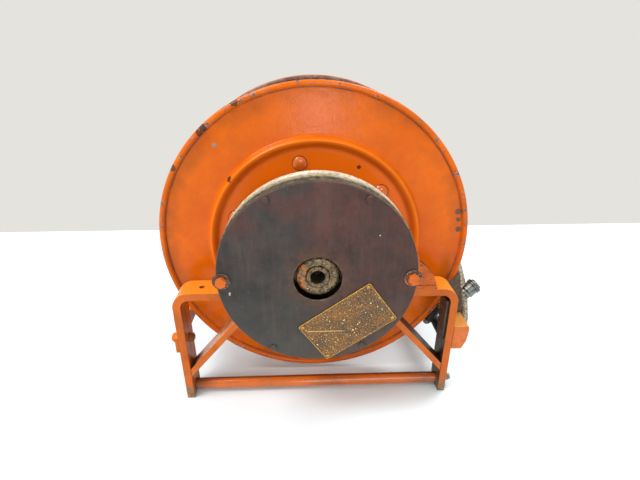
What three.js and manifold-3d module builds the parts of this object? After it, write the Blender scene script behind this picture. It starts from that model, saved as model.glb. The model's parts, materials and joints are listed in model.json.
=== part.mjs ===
/*
 * Spring-rewind hose reel, in millimetres, +Z up.
 *
 * A hollow shaft runs along Y through two bearing plates, which stand on a front and a rear frame of bent
 * flat bar. The shaft carries a riveted drum between two stamped flanges. A flat spiral spring in the round
 * case at the front winds the drum back. Water comes in at the coupling on the right, runs through the inlet
 * tube round to the swivel behind, along the hollow shaft and up the riser to the hose nipple on the drum.
 * Three rollers behind the right-hand legs guide the hose.
 *
 * Working frame: X = 0 on the reel axis, Y = 0 on the front faces of the front legs, Z = 0 on the floor.
 * At the end the whole group is moved so that its origin is the middle of its footprint.
 */
import * as THREE from 'three';
import { mergeVertices } from 'three/addons/utils/BufferGeometryUtils.js';
import Module from 'manifold-3d';

const wasm = await Module();
wasm.setup();

// ---- Driving dimensions -------------------------------------------------------------------------------

const gap = 0.3;                    // left between pieces that touch
const holeSlack = 0.5;              // radial clearance of a bolt or pin in its hole
const runningGap = 0.7;             // radial clearance of anything that turns

const axisHeight = 262.5;           // reel axis above the floor
const midDepth = 152;               // plane half way between the two frames

// frame
const barThickness = 12.5;
const barWidth = 42.3;
const halfSpan = 228;               // reel axis to the outer face of a leg
const armTop = 212.5;
const bendRadius = 27;              // outside of the bend
const armReach = 76;                // reel axis to the inner end of an arm
const armHoleRadius = 4.5;
const armHoleOffset = 183;
const braceThickness = 10.5;
const braceWidth = 30;
const braceFootHeight = 54.6;       // where its middle meets the leg
const braceHeadOffset = 89.6;       // where its middle meets the arm
const plateThickness = 10;          // bearing plates
const plateFootReach = 190;         // outer end of a bearing plate's foot
const plateFootOverhang = 4;        // left foot, outboard of the bolt
const lugRadius = 22;               // round each case bolt
const bossRadius = 45;              // round the bearing
const tieRadius = 9.7;
const tieHeight = 15.5;
const tieDepth = 19;
const studRadius = 5;               // threaded ends of the tie bar
const tieEnd = 13;                  // length of the studs outside the legs
const tieNut = 11;                  // across flats
const railThickness = 5;
const railBottom = 100;
const railHeight = 28;
const railBoltRadius = 4.7;
const railBoltHead = 8.4;
const railNut = 14;
const doublerWidth = 28;
const doublerBottom = 104;
const doublerFront = 6;
const doublerThickness = 4;
const doublerHeadroom = 14;         // below the arm

// spring motor
const caseRadius = 142.8;
const caseFront = -49;
const coverSkirt = 16;
const coverEdge = 3;                // rolled edge
const caseStep = 1.8;               // case wall outside the line of the cover
const sheet = 2;                    // wall of the case and the cover
const coverHoleRadius = 34.5;
const boltCircle = 135;
const caseBoltRadius = 4;
const caseBoltHead = 14.3;          // across flats
const caseWasherRadius = 13;
const screwHead = 11;
const screwRadius = 3.2;
const plateLength = 127;
const plateHeight = 75;
const plateSheet = 1;
const plateCorner = 3;
const plateOffset = [43.7, -74.2];
const plateTilt = 35.4;             // degrees
const springTurns = 6;
const springWidth = 29;
const springThickness = 2;

// shaft and drum
const shaftRadius = 16.7;
const shaftBore = 10.4;
const shaftFront = -44;
const arborRadius = 29.5;
const arborFront = -43;
const bushFlangeRadius = 29;
const bushWall = 7;
const flangeRadius = 256;
const beadRadius = 4.75;
const flangeSheet = 2;
const flangeDepth = 74;             // plane of the rim bead
const webSetback = 2;               // web behind the middle of the bead
const centreRise = 1;               // flat centre, proud of the web
const ringHeight = 8.5;             // embossed ring, proud of the web
const ringOuter = 178;
const ringCrest = 171;
const ringInner = 160;
const drumRadius = 150;
const lipWidth = 25;
const rivetHead = 12;
const rivetShank = 5;
const rivetCount = 6;
const rivetPhase = 40;              // degrees
const hubRadius = 27;
const hubDisc = 62;
const riserRadius = 11;
const riserBore = 8;
const riserBend = 24;
const riserLevel = 14;              // straight length after the bend
const nippleLength = 34;

// inlet
const tubeRadius = 6;
const blockWidth = 25.7;
const blockHeight = 44.4;
const blockBottom = 94.2;
const blockChamfer = [9, 16];
const swivelRadius = 27;
const swivelLength = 36;
const glandLength = 8;
const swivelEnd = 6;                // closed rear end
const portRadius = 4.5;
const saddleRadius = 10.5;
const couplingRadius = 12.5;
const couplingReach = 19;           // middle of the tube to the collar
const couplingAxis = [0.79, 0.25, 0.56];
const collarRadius = 14;
const collarLength = 6.5;
const neckRadius = 8.5;
const couplingBore = 6;

// hose guide
const guideTilt = 33;               // degrees that the upright rollers lean
const guideX = 226;
const guideZ = 97.8;
const rollerRadius = 9;
const rollerLength = 34;
const rollerDepth = 100;            // plane of the front upright roller
const pinRadius = 4;
const crossRollerPlace = [22.2, -15];
const guideReach = 14;              // end plate onto the leg
const carrierInner = 8;             // towards the drum
const carrierOuter = 14;
const carrierThickness = 5;
const endPlateThickness = 6;
const washerThickness = 2;
const endPlateRadius = 10;
const guideNut = 13;

// ---- Values that follow from them ---------------------------------------------------------------------

const rad = THREE.MathUtils.degToRad;
const frameDepth = 2 * midDepth;
const legInner = halfSpan - barThickness;
const armBottom = armTop - barThickness;
const caseBack = -gap;
const casePan = caseFront + coverSkirt + gap;
const webFront = flangeDepth + webSetback;
const centreFront = webFront - centreRise;
const drumFront = centreFront + flangeSheet + gap;
const railBoltHeight = railBottom + railHeight * 0.54;
const caseOuter = caseRadius + caseStep;
const bushOuter = shaftRadius + runningGap + bushWall;
const swivelFront = frameDepth + glandLength + 2 * gap;
const shaftRear = swivelFront + 24;
const rivetCircle = drumRadius - lipWidth / 2;

// ---- Geometry tools -----------------------------------------------------------------------------------

// Welds the vertices, drops collapsed triangles and makes the faces point out.
function tidy(geometry) {
  const copy = geometry.clone();
  copy.deleteAttribute('normal');
  copy.deleteAttribute('uv');
  const welded = mergeVertices(copy, 1e-4);
  const index = welded.getIndex();
  const place = welded.getAttribute('position');
  const kept = [];
  let volume = 0;
  const [a, b, c] = [new THREE.Vector3(), new THREE.Vector3(), new THREE.Vector3()];
  for (let i = 0; i < index.count; i += 3) {
    const corner = [index.getX(i), index.getX(i + 1), index.getX(i + 2)];
    if (new Set(corner).size < 3) continue;
    kept.push(...corner);
    a.fromBufferAttribute(place, corner[0]);
    b.fromBufferAttribute(place, corner[1]);
    c.fromBufferAttribute(place, corner[2]);
    volume += a.dot(b.cross(c));
  }
  if (volume < 0) kept.reverse();
  const result = new THREE.BufferGeometry();
  result.setAttribute('position', place.clone());
  result.setIndex(kept);
  return result;
}

function toSolid(geometry) {
  const clean = tidy(geometry);
  return new wasm.Manifold(new wasm.Mesh({
    numProp: 3,
    vertProperties: new Float32Array(clean.getAttribute('position').array),
    triVerts: new Uint32Array(clean.getIndex().array),
  }));
}

function toGeometry(solid) {
  const mesh = solid.getMesh();
  const result = new THREE.BufferGeometry();
  result.setAttribute('position', new THREE.BufferAttribute(new Float32Array(mesh.vertProperties), 3));
  result.setIndex(new THREE.BufferAttribute(new Uint32Array(mesh.triVerts), 1));
  return result;
}

function cut(base, ...tools) {
  return toGeometry(tools.reduce((solid, tool) => solid.subtract(toSolid(tool)), toSolid(base)));
}

function join(base, ...others) {
  return toGeometry(others.reduce((solid, other) => solid.add(toSolid(other)), toSolid(base)));
}

// Revolves [radius, y] points about Y. The profile starts and ends on the axis, or is closed by repeating
// its first point.
function revolve(points, segments = 48, closed = true) {
  const profile = points.map(([r, y]) => new THREE.Vector2(r, y));
  if (closed) profile.push(profile[0].clone());
  return tidy(new THREE.LatheGeometry(profile, segments));
}

function ring(inner, outer, from, to, segments = 48) {
  return revolve([[inner, from], [outer, from], [outer, to], [inner, to]], segments);
}

// Turns a piece made along Y to run along another direction from a point.
function aim(geometry, direction, origin = [0, 0, 0]) {
  const turn = new THREE.Quaternion().setFromUnitVectors(
    new THREE.Vector3(0, 1, 0), new THREE.Vector3(...direction).normalize());
  return geometry.applyQuaternion(turn).translate(...origin);
}

function rod(radius, from, to, sides = 16) {
  const start = new THREE.Vector3(...from);
  const along = new THREE.Vector3(...to).sub(start);
  const length = along.length();
  const cylinder = new THREE.CylinderGeometry(radius, radius, length, sides);
  return aim(cylinder.translate(0, length / 2, 0), along.toArray(), from);
}

function hexagon(acrossFlats, from, to) {
  return rod(acrossFlats / Math.sqrt(3), from, to, 6);
}

// A plate whose outline lies in the XZ plane, from depth y to y + thickness.
function plateAcross(outline, y, thickness, curveSegments = 6) {
  const solid = new THREE.ExtrudeGeometry(outline, { depth: thickness, bevelEnabled: false, curveSegments });
  return solid.rotateX(Math.PI / 2).translate(0, y + thickness, 0);
}

function box(x0, x1, y0, y1, z0, z1) {
  return new THREE.BoxGeometry(x1 - x0, y1 - y0, z1 - z0)
    .translate((x0 + x1) / 2, (y0 + y1) / 2, (z0 + z1) / 2);
}

function polygon(points) {
  return new THREE.Shape(points.map(([x, z]) => new THREE.Vector2(x, z)));
}

function mirrored(geometry, axis) {
  const scale = [1, 1, 1];
  scale[axis] = -1;
  return tidy(geometry.clone().scale(...scale));
}

// The same piece on the rear frame.
function atRear(geometry) {
  return mirrored(geometry, 1).translate(0, frameDepth, 0);
}

// ---- Finishes and assembly ----------------------------------------------------------------------------

const finishes = {
  orangePaint: [0xe2691b, 0.42, 0.1],
  coverPaint: [0x4d4340, 0.55, 0.35],
  casePaint: [0xc9bfa8, 0.6, 0.1],
  plateBrass: [0x9c7a3c, 0.5, 0.8],
  blackRoller: [0x26252a, 0.55, 0],
  bareSteel: [0x8b8781, 0.45, 0.9],
  greasySteel: [0x6d5f52, 0.35, 0.85],
  springSteel: [0x3f4a58, 0.35, 0.9],
  zinc: [0xb8bbbb, 0.35, 0.9],
  oliveTube: [0x8b856a, 0.6, 0.4],
  bronze: [0x8a6a3a, 0.4, 0.85],
};

function piece(group, name, geometry, finish) {
  const [color, roughness, metalness] = finishes[finish];
  const material = new THREE.MeshStandardMaterial({ color, roughness, metalness });
  const mesh = new THREE.Mesh(tidy(geometry), material);
  mesh.name = name;
  mesh.geometry.computeVertexNormals();
  group.add(mesh);
  return mesh;
}

// ---- Frame --------------------------------------------------------------------------------------------

// One flat bar bent into a leg and an arm; side is 1 on the right and -1 on the left.
function bentLeg(side) {
  const inner = bendRadius - barThickness;
  const outline = new THREE.Shape();
  outline.moveTo(halfSpan, 0);
  outline.lineTo(halfSpan, armTop - bendRadius);
  outline.absarc(halfSpan - bendRadius, armTop - bendRadius, bendRadius, 0, Math.PI / 2, false);
  outline.lineTo(armReach, armTop);
  outline.lineTo(armReach, armBottom);
  outline.lineTo(halfSpan - bendRadius, armBottom);
  outline.absarc(halfSpan - bendRadius, armTop - bendRadius, inner, Math.PI / 2, 0, true);
  outline.lineTo(legInner, 0);
  const bar = plateAcross(outline, 0, barWidth, 6);
  return side > 0 ? bar : mirrored(bar, 0);
}

function tieHole(side) {
  const [inside, outside] = [side * (halfSpan - 20), side * (halfSpan + 8)];
  return rod(studRadius + holeSlack, [inside, tieDepth, tieHeight], [outside, tieDepth, tieHeight], 10);
}

function railHole(y) {
  const z = railBoltHeight;
  return rod(railBoltRadius + holeSlack, [-halfSpan - 20, y, z], [-legInner + 20, y, z], 10);
}

function leftLeg() {
  const hole = rod(armHoleRadius, [-armHoleOffset, barWidth / 2, armBottom - 5],
    [-armHoleOffset, barWidth / 2, armTop + 5], 10);
  return cut(bentLeg(-1), hole, tieHole(-1), railHole(barWidth / 2));
}

function rightLeg() {
  return cut(bentLeg(1), tieHole(1));
}

function brace(side) {
  const slope = Math.atan2(armBottom - braceFootHeight, legInner - braceHeadOffset);
  const upright = braceThickness / 2 / Math.cos(slope);
  const level = braceThickness / 2 / Math.sin(slope);
  const outline = polygon([
    [legInner - gap, braceFootHeight - upright],
    [legInner - gap, braceFootHeight + upright],
    [braceHeadOffset + level, armBottom - gap],
    [braceHeadOffset - level, armBottom - gap],
  ]);
  const bar = plateAcross(outline, 0.5, braceWidth);
  return side > 0 ? bar : mirrored(bar, 0);
}

// Stands on both arms, holds the bearing and carries the lugs for the two long case bolts.
function bearingPlate() {
  const foot = armTop + gap;
  const top = axisHeight + lugRadius;
  const leftReach = boltCircle + plateFootOverhang;
  const outline = new THREE.Shape();
  outline.moveTo(-leftReach, foot);
  outline.lineTo(plateFootReach, foot);
  outline.quadraticCurveTo(plateFootReach - 6, foot + 34, boltCircle + lugRadius, axisHeight);
  outline.absarc(boltCircle, axisHeight, lugRadius, 0, Math.PI / 2, false);
  outline.lineTo(bossRadius, axisHeight + bossRadius);
  outline.lineTo(-bossRadius, axisHeight + bossRadius);
  outline.lineTo(-boltCircle + 8, top);
  outline.quadraticCurveTo(-leftReach, top - 6, -leftReach, axisHeight);
  const plate = plateAcross(outline, 0, plateThickness, 5);
  const holes = [rod(bushOuter + gap, [0, -5, axisHeight], [0, plateThickness + 5, axisHeight], 24)];
  for (const x of [-boltCircle, boltCircle]) {
    holes.push(rod(caseBoltRadius + holeSlack, [x, -5, axisHeight], [x, plateThickness + 5, axisHeight], 10));
  }
  return cut(plate, ...holes);
}

// Flanged bush pressed into the bearing plate from the drum side.
function bearingBush() {
  const inner = shaftRadius + runningGap;
  const face = plateThickness + gap;
  return revolve([
    [inner, gap], [bushOuter, gap], [bushOuter, face],
    [bushFlangeRadius, face], [bushFlangeRadius, face + 3], [inner, face + 3],
  ], 24);
}

// Round bar between the legs, with a stud and a long nut outside each leg.
function tieBar() {
  const seat = legInner - gap;
  const face = halfSpan + gap;
  const line = (x) => [x, tieDepth, tieHeight];
  return join(
    rod(tieRadius, line(-seat), line(seat), 18),
    rod(studRadius, line(-face - 2), line(face + tieEnd), 10),
    hexagon(tieNut, line(-face - tieEnd / 3), line(-face)),
    hexagon(tieNut, line(face), line(face + tieEnd - 3)));
}

function sideRail() {
  const outer = -halfSpan - gap - railThickness;
  const bar = box(outer, -halfSpan - gap, 0, frameDepth, railBottom, railBottom + railHeight);
  return cut(bar, railHole(barWidth / 2), railHole(frameDepth - barWidth / 2));
}

// Domed bolt through rail and leg, with its nut on the inner face.
function railBolt(y) {
  const z = railBoltHeight;
  const head = halfSpan + railThickness + 2 * gap;
  const dome = revolve([[0, 0], [railBoltHead, 0], [railBoltHead, 6.5], [railBoltHead * 0.7, 10],
    [0, 11.5]], 12, false);
  return join(
    aim(dome, [-1, 0, 0], [-head, y, z]),
    rod(railBoltRadius, [-head - 1, y, z], [-legInner + 9, y, z], 10),
    hexagon(railNut, [-legInner + gap, y, z], [-legInner + gap + 7, y, z]));
}

// Flat bar with a round lower end, welded inside the right-hand leg to back the inlet block.
function legDoubler() {
  const radius = doublerWidth / 2;
  const top = armBottom - doublerHeadroom;
  const outline = new THREE.Shape();
  outline.moveTo(doublerFront, top);
  outline.lineTo(doublerFront, doublerBottom + radius);
  outline.absarc(doublerFront + radius, doublerBottom + radius, radius, Math.PI, 2 * Math.PI, false);
  outline.lineTo(doublerFront + doublerWidth, top);
  const bar = new THREE.ExtrudeGeometry(outline, {
    depth: doublerThickness, bevelEnabled: false, curveSegments: 8 });
  const turn = new THREE.Matrix4().makeBasis(
    new THREE.Vector3(0, 1, 0), new THREE.Vector3(0, 0, 1), new THREE.Vector3(1, 0, 0));
  return bar.applyMatrix4(turn).translate(legInner - gap - doublerThickness, 0, 0);
}

function buildFrame() {
  const frame = new THREE.Group();
  const paint = 'orangePaint';
  piece(frame, 'front_left_leg', leftLeg(), paint);
  piece(frame, 'front_right_leg', rightLeg(), paint);
  piece(frame, 'rear_left_leg', atRear(leftLeg()), paint);
  piece(frame, 'rear_right_leg', atRear(rightLeg()), paint);
  for (const [name, side] of [['left', -1], ['right', 1]]) {
    piece(frame, `front_${name}_brace`, brace(side), paint);
    piece(frame, `rear_${name}_brace`, atRear(brace(side)), paint);
  }
  piece(frame, 'front_bearing_plate', bearingPlate(), paint);
  piece(frame, 'rear_bearing_plate', atRear(bearingPlate()), paint);
  piece(frame, 'front_tie_bar', tieBar(), paint);
  piece(frame, 'rear_tie_bar', atRear(tieBar()), paint);
  piece(frame, 'left_side_rail', sideRail(), paint);
  piece(frame, 'front_rail_bolt', railBolt(barWidth / 2), paint);
  piece(frame, 'rear_rail_bolt', railBolt(frameDepth - barWidth / 2), paint);
  piece(frame, 'right_leg_doubler', legDoubler(), paint);
  const bearings = new THREE.Group();
  bearings.position.z = axisHeight;
  piece(bearings, 'front_bearing', bearingBush(), 'bronze');
  piece(bearings, 'rear_bearing', atRear(bearingBush()), 'bronze');
  frame.add(bearings);
  return frame;
}

// ---- Spring motor, about the reel axis ------------------------------------------------------------------

function boltPlaces() {
  return [0, 60, 120, 180, 240, 300].map((angle) => [
    boltCircle * Math.cos(rad(angle)), boltCircle * Math.sin(rad(angle))]);
}

function throughHoles(radius, from, to) {
  return boltPlaces().map(([x, z]) => rod(radius, [x, from, z], [x, to, z], 8));
}

// Open pan: a back with a hole for the shaft, and the outer wall.
function springCase() {
  const hole = shaftRadius + 4;
  const inner = caseOuter - sheet;
  const pan = revolve([
    [hole, caseBack], [caseOuter, caseBack], [caseOuter, casePan],
    [inner, casePan], [inner, caseBack - sheet], [hole, caseBack - sheet],
  ], 48);
  return cut(pan, ...throughHoles(caseBoltRadius + holeSlack, caseBack - 10, caseBack + 10));
}

// Shallow cap with a rolled edge and a deep skirt.
function springCover() {
  const cap = revolve([
    [coverHoleRadius, caseFront], [caseRadius - coverEdge, caseFront], [caseRadius - 1, caseFront + 1],
    [caseRadius, caseFront + coverEdge], [caseRadius, caseFront + coverSkirt],
    [caseRadius - sheet, caseFront + coverSkirt], [caseRadius - sheet, caseFront + coverEdge],
    [caseRadius - coverEdge, caseFront + sheet], [coverHoleRadius, caseFront + sheet],
  ], 48);
  return cut(cap, ...throughHoles(caseBoltRadius + holeSlack, caseFront - 10, caseFront + 10));
}

// Flat spiral from the arbor out to a hook on the case wall between two bolts.
function powerSpring() {
  const inner = arborRadius + gap + springThickness / 2;
  const outer = boltCircle - caseBoltRadius - 4;
  const steps = springTurns * 18;
  const hookRadius = caseOuter - sheet - gap - springThickness;
  const middle = [];
  for (let i = 0; i <= steps; i += 1) {
    const part = i / steps;
    const radius = inner + (outer - inner) * Math.pow(part, 0.8);
    const angle = rad(30) - (1 - part) * springTurns * 2 * Math.PI;
    middle.push([radius * Math.cos(angle), radius * Math.sin(angle)]);
  }
  const hookAngle = rad(33);
  middle.push([hookRadius * Math.cos(hookAngle), hookRadius * Math.sin(hookAngle)]);
  const left = [];
  const right = [];
  for (let i = 0; i < middle.length; i += 1) {
    const before = middle[Math.max(i - 1, 0)];
    const after = middle[Math.min(i + 1, middle.length - 1)];
    const along = new THREE.Vector2(after[0] - before[0], after[1] - before[1]).normalize();
    const half = springThickness / 2;
    left.push([middle[i][0] - along.y * half, middle[i][1] + along.x * half]);
    right.push([middle[i][0] + along.y * half, middle[i][1] - along.x * half]);
  }
  return plateAcross(polygon([...left, ...right.reverse()]), caseBack - sheet - 1 - springWidth, springWidth);
}

// Long bolt through cover, case and lug, with its washer and nut.
function caseBolt(x) {
  const face = caseFront - gap;
  const back = plateThickness + gap;
  return join(
    rod(caseWasherRadius, [x, face - 2, 0], [x, face, 0], 16),
    hexagon(caseBoltHead, [x, face - 8, 0], [x, face - 2, 0]),
    rod(caseBoltRadius, [x, face - 2, 0], [x, back + 12, 0], 10),
    hexagon(caseBoltHead, [x, back, 0], [x, back + 8, 0]));
}

// Shorter bolt that clamps only cover and case.
function coverScrew([x, z]) {
  const face = caseFront - gap;
  return join(
    rod(screwHead / 2, [x, face - 3, z], [x, face, z], 12),
    rod(screwRadius, [x, face - 1, z], [x, 8, z], 8),
    hexagon(screwHead, [x, caseBack + gap, z], [x, caseBack + gap + 5, z]));
}

function nameplate() {
  const corner = plateCorner;
  const [w, h] = [plateLength / 2, plateHeight / 2];
  const outline = new THREE.Shape();
  outline.moveTo(-w + corner, -h);
  outline.lineTo(w - corner, -h);
  outline.absarc(w - corner, -h + corner, corner, -Math.PI / 2, 0, false);
  outline.lineTo(w, h - corner);
  outline.absarc(w - corner, h - corner, corner, 0, Math.PI / 2, false);
  outline.lineTo(-w + corner, h);
  outline.absarc(-w + corner, h - corner, corner, Math.PI / 2, Math.PI, false);
  outline.lineTo(-w, -h + corner);
  outline.absarc(-w + corner, -h + corner, corner, Math.PI, 1.5 * Math.PI, false);
  return plateAcross(outline, 0, plateSheet, 3);
}

function buildMotor() {
  const motor = new THREE.Group();
  motor.position.z = axisHeight;
  piece(motor, 'spring_case', springCase(), 'casePaint');
  piece(motor, 'spring_cover', springCover(), 'coverPaint');
  piece(motor, 'power_spring', powerSpring(), 'springSteel');
  piece(motor, 'case_bolt_right', caseBolt(boltCircle), 'orangePaint');
  piece(motor, 'case_bolt_left', caseBolt(-boltCircle), 'orangePaint');
  const screws = boltPlaces().filter((_, i) => i % 3 !== 0);
  screws.forEach((place, i) => piece(motor, `cover_screw_${i + 1}`, coverScrew(place), 'coverPaint'));
  const plate = piece(motor, 'nameplate', nameplate(), 'plateBrass');
  plate.position.set(plateOffset[0], caseFront - gap - plateSheet, plateOffset[1]);
  plate.rotation.y = -rad(plateTilt);
  return motor;
}

// ---- Shaft and drum, about the reel axis ----------------------------------------------------------------

// Blind bore in front; the water bore runs from the rear end to the riser.
function shaft() {
  const bar = revolve([
    [0, shaftFront + 30], [shaftBore, shaftFront + 30], [shaftBore, shaftFront],
    [shaftRadius - 1, shaftFront], [shaftRadius, shaftFront + 1],
    [shaftRadius, shaftRear], [shaftBore, shaftRear],
    [shaftBore, midDepth - 14], [0, midDepth - 14],
  ], 28, false);
  return cut(bar, rod(riserBore, [0, midDepth, 5], [0, midDepth, shaftRadius + 5], 12));
}

function springArbor() {
  const inner = shaftRadius + gap;
  const back = caseBack - sheet - gap - 0.5;
  return revolve([
    [inner, arborFront], [arborRadius - 4, arborFront], [arborRadius, arborFront + 2],
    [arborRadius, back], [inner, back],
  ], 28);
}

// Collar through the flange, and a disc behind it.
function hub() {
  const inner = shaftRadius + gap;
  return revolve([
    [inner, webFront - 22], [hubRadius, webFront - 22], [hubRadius, drumFront],
    [hubDisc, drumFront], [hubDisc, drumFront + 4], [hubRadius, drumFront + 12],
    [inner, drumFront + 12],
  ], 28);
}

// Stamped disc: flat centre, embossed ring, web and a curled rim.
function flange() {
  const front = [
    [hubRadius + gap, centreFront],
    [ringInner, centreFront],
    [ringCrest - 3.5, webFront - ringHeight * 0.88],
    [ringCrest, webFront - ringHeight],
    [ringCrest + 3, webFront - ringHeight * 0.88],
    [ringOuter, webFront],
    [flangeRadius - 2 * beadRadius - 1, webFront],
  ];
  const back = front.map(([r, y]) => [r, y + flangeSheet]).reverse();
  const bead = [];
  const beadSteps = 6;
  for (let i = 0; i <= beadSteps; i += 1) {
    const angle = rad(-160 + 300 / beadSteps * i);
    bead.push([
      flangeRadius - beadRadius + beadRadius * Math.cos(angle),
      flangeDepth + beadRadius * Math.sin(angle)]);
  }
  return revolve([...front, ...bead, ...back], 48);
}

function frontFlange() {
  return cut(flange(), ...rivetHoles(webFront - 5, webFront + 10));
}

function rivetPlaces() {
  const places = [];
  for (let i = 0; i < rivetCount; i += 1) {
    const angle = rad(rivetPhase + 360 / rivetCount * i);
    places.push([rivetCircle * Math.cos(angle), rivetCircle * Math.sin(angle)]);
  }
  return places;
}

function rivetHoles(from, to) {
  return rivetPlaces().map(([x, z]) => rod(rivetShank + holeSlack, [x, from, z], [x, to, z], 10));
}

// Domed head in front, shank through flange and lip, and a flat tail behind.
function rivet([x, z]) {
  const seat = centreFront - gap;
  const tail = drumFront + flangeSheet + gap;
  const profile = [
    [0, seat - 7], [rivetHead * 0.5, seat - 6], [rivetHead * 0.87, seat - 3.2],
    [rivetHead, seat], [rivetShank, seat], [rivetShank, tail],
    [rivetShank + 3, tail], [rivetShank + 3, tail + 2], [0, tail + 2],
  ];
  return revolve(profile, 10, false).translate(x, 0, z);
}

// Rolled shell with a lip turned in at each end, pierced for the riser.
function drumShell() {
  const end = drumFront + flangeSheet;
  const shell = revolve([
    [drumRadius, drumFront], [drumRadius, frameDepth - drumFront],
    [drumRadius - lipWidth, frameDepth - drumFront], [drumRadius - lipWidth, frameDepth - end],
    [drumRadius - flangeSheet, frameDepth - end], [drumRadius - flangeSheet, end],
    [drumRadius - lipWidth, end], [drumRadius - lipWidth, drumFront],
  ], 48);
  const riserHole = rod(riserRadius + 2, [0, midDepth, drumRadius - 30], [0, midDepth, drumRadius + 20], 16);
  return cut(shell, riserHole, ...rivetHoles(drumFront - 5, end + 5),
    ...rivetHoles(frameDepth - end - 5, frameDepth - drumFront + 5));
}

class RiserPath extends THREE.Curve {
  // Up from the shaft, round a quarter bend and level along the drum.
  constructor() {
    super();
    this.rise = drumRadius + 14 - riserBend + riserRadius;
    this.foot = shaftRadius + gap;
    this.level = riserLevel;
    this.bend = riserBend * Math.PI / 2;
    this.total = this.rise - this.foot + this.bend + this.level;
  }

  getPoint(t, target = new THREE.Vector3()) {
    const s = t * this.total;
    const straight = this.rise - this.foot;
    if (s < straight) return target.set(0, midDepth, this.foot + s);
    if (s < straight + this.bend) {
      const angle = (s - straight) / riserBend;
      return target.set(riserBend * (1 - Math.cos(angle)), midDepth, this.rise + riserBend * Math.sin(angle));
    }
    return target.set(riserBend + s - straight - this.bend, midDepth, this.rise + riserBend);
  }
}

function circle(radius) {
  const outline = new THREE.Shape();
  outline.absarc(0, 0, radius, 0, 2 * Math.PI, false);
  return outline;
}

function outletRiser() {
  const section = circle(riserRadius);
  section.holes.push(circle(riserBore));
  return new THREE.ExtrudeGeometry(section, {
    extrudePath: new RiserPath(), steps: 12, curveSegments: 6, bevelEnabled: false });
}

// Barbed nipple that the hose is clamped on.
function hoseNipple() {
  const path = new RiserPath();
  const barb = (y) => [[riserRadius - 1, y], [riserRadius + 1.5, y + 1], [riserRadius - 1, y + 7]];
  const profile = revolve([
    [riserBore, gap], [riserRadius + 5, gap], [riserRadius + 5, 9],
    ...barb(10), ...barb(18), [riserRadius - 1.5, nippleLength], [riserBore, nippleLength],
  ], 16);
  return aim(profile, [1, 0, 0], [riserBend + path.level, midDepth, path.rise + riserBend]);
}

// The rear flange carries its own six rivets.
function rearFlange() {
  return join(atRear(flange()), ...rivetPlaces().map((place) => atRear(rivet(place))));
}

function buildDrum() {
  const drum = new THREE.Group();
  drum.position.z = axisHeight;
  piece(drum, 'shaft', shaft(), 'greasySteel');
  piece(drum, 'spring_arbor', springArbor(), 'greasySteel');
  piece(drum, 'front_hub', hub(), 'orangePaint');
  piece(drum, 'rear_hub', atRear(hub()), 'orangePaint');
  piece(drum, 'drum_shell', drumShell(), 'orangePaint');
  piece(drum, 'front_flange', frontFlange(), 'orangePaint');
  piece(drum, 'rear_flange', rearFlange(), 'orangePaint');
  rivetPlaces().forEach((place, i) => piece(drum, `flange_rivet_${i + 1}`, rivet(place), 'orangePaint'));
  piece(drum, 'outlet_riser', outletRiser(), 'bareSteel');
  piece(drum, 'hose_nipple', hoseNipple(), 'zinc');
  return drum;
}

// ---- Inlet ----------------------------------------------------------------------------------------------

const blockLeft = halfSpan + gap;
const blockRight = blockLeft + blockWidth;
const blockTop = blockBottom + blockHeight;
const tubeSide = halfSpan + 34;     // plane that the tube rises in
const couplingTurn = 6;             // point of the tube's route that carries the coupling

// Route of the tube: out of the block's right side, up and back past the drum and round to the swivel.
function tubePlaces() {
  const rear = swivelFront + swivelLength / 2;
  return [
    [blockRight - 8, 28, blockTop - 34], [blockRight - 1, 31.5, blockTop - 30],
    [blockRight + 4.5, 35.5, blockTop - 24], [tubeSide, 41, blockTop - 17], [tubeSide, 49, blockTop + 1.5],
    [tubeSide, 55.5, blockTop + 15], [tubeSide, 62, blockTop + 25], [tubeSide, 76, blockTop + 41],
    [tubeSide, 102, blockTop + 59], [tubeSide + 1, 132, axisHeight - 46],
    [tubeSide + 4, 176, axisHeight - 20], [tubeSide + 6, 215, axisHeight - 6],
    [tubeSide + 6, frameDepth - 56, axisHeight],
    [tubeSide, frameDepth - 22, axisHeight], [tubeSide - 22, rear - 10, axisHeight],
    [tubeSide - 52, rear - 1, axisHeight], [tubeSide - 92, rear, axisHeight], [120, rear, axisHeight],
    [swivelRadius + 20, rear, axisHeight], [swivelRadius + 8, rear, axisHeight],
  ];
}

const couplingBase = tubePlaces()[couplingTurn];

function tubeRoute() {
  const places = tubePlaces().map((place) => new THREE.Vector3(...place));
  return new THREE.CatmullRomCurve3(places, false, 'centripetal');
}

function inletTube(radius) {
  return new THREE.ExtrudeGeometry(circle(radius), {
    extrudePath: tubeRoute(), steps: 52, curveSegments: 5, bevelEnabled: false });
}

// Block on the outer face of the leg, with a chamfered lower corner and a socket for the tube.
function inletBlock() {
  const outline = polygon([
    [blockLeft, blockBottom], [blockRight - blockChamfer[0], blockBottom],
    [blockRight - 2, blockBottom + blockChamfer[1]], [blockRight, blockTop - 6],
    [blockRight - 1.5, blockTop], [blockLeft, blockTop],
  ]);
  const route = tubeRoute();
  const bottom = route.getPoint(0).sub(route.getTangent(0));
  const inside = route.getPoint(0).add(route.getTangent(0));
  const socket = rod(tubeRadius + gap, bottom.toArray(), inside.toArray(), 16);
  return cut(plateAcross(outline, 0, barWidth), socket, inletTube(tubeRadius + gap));
}

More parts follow.
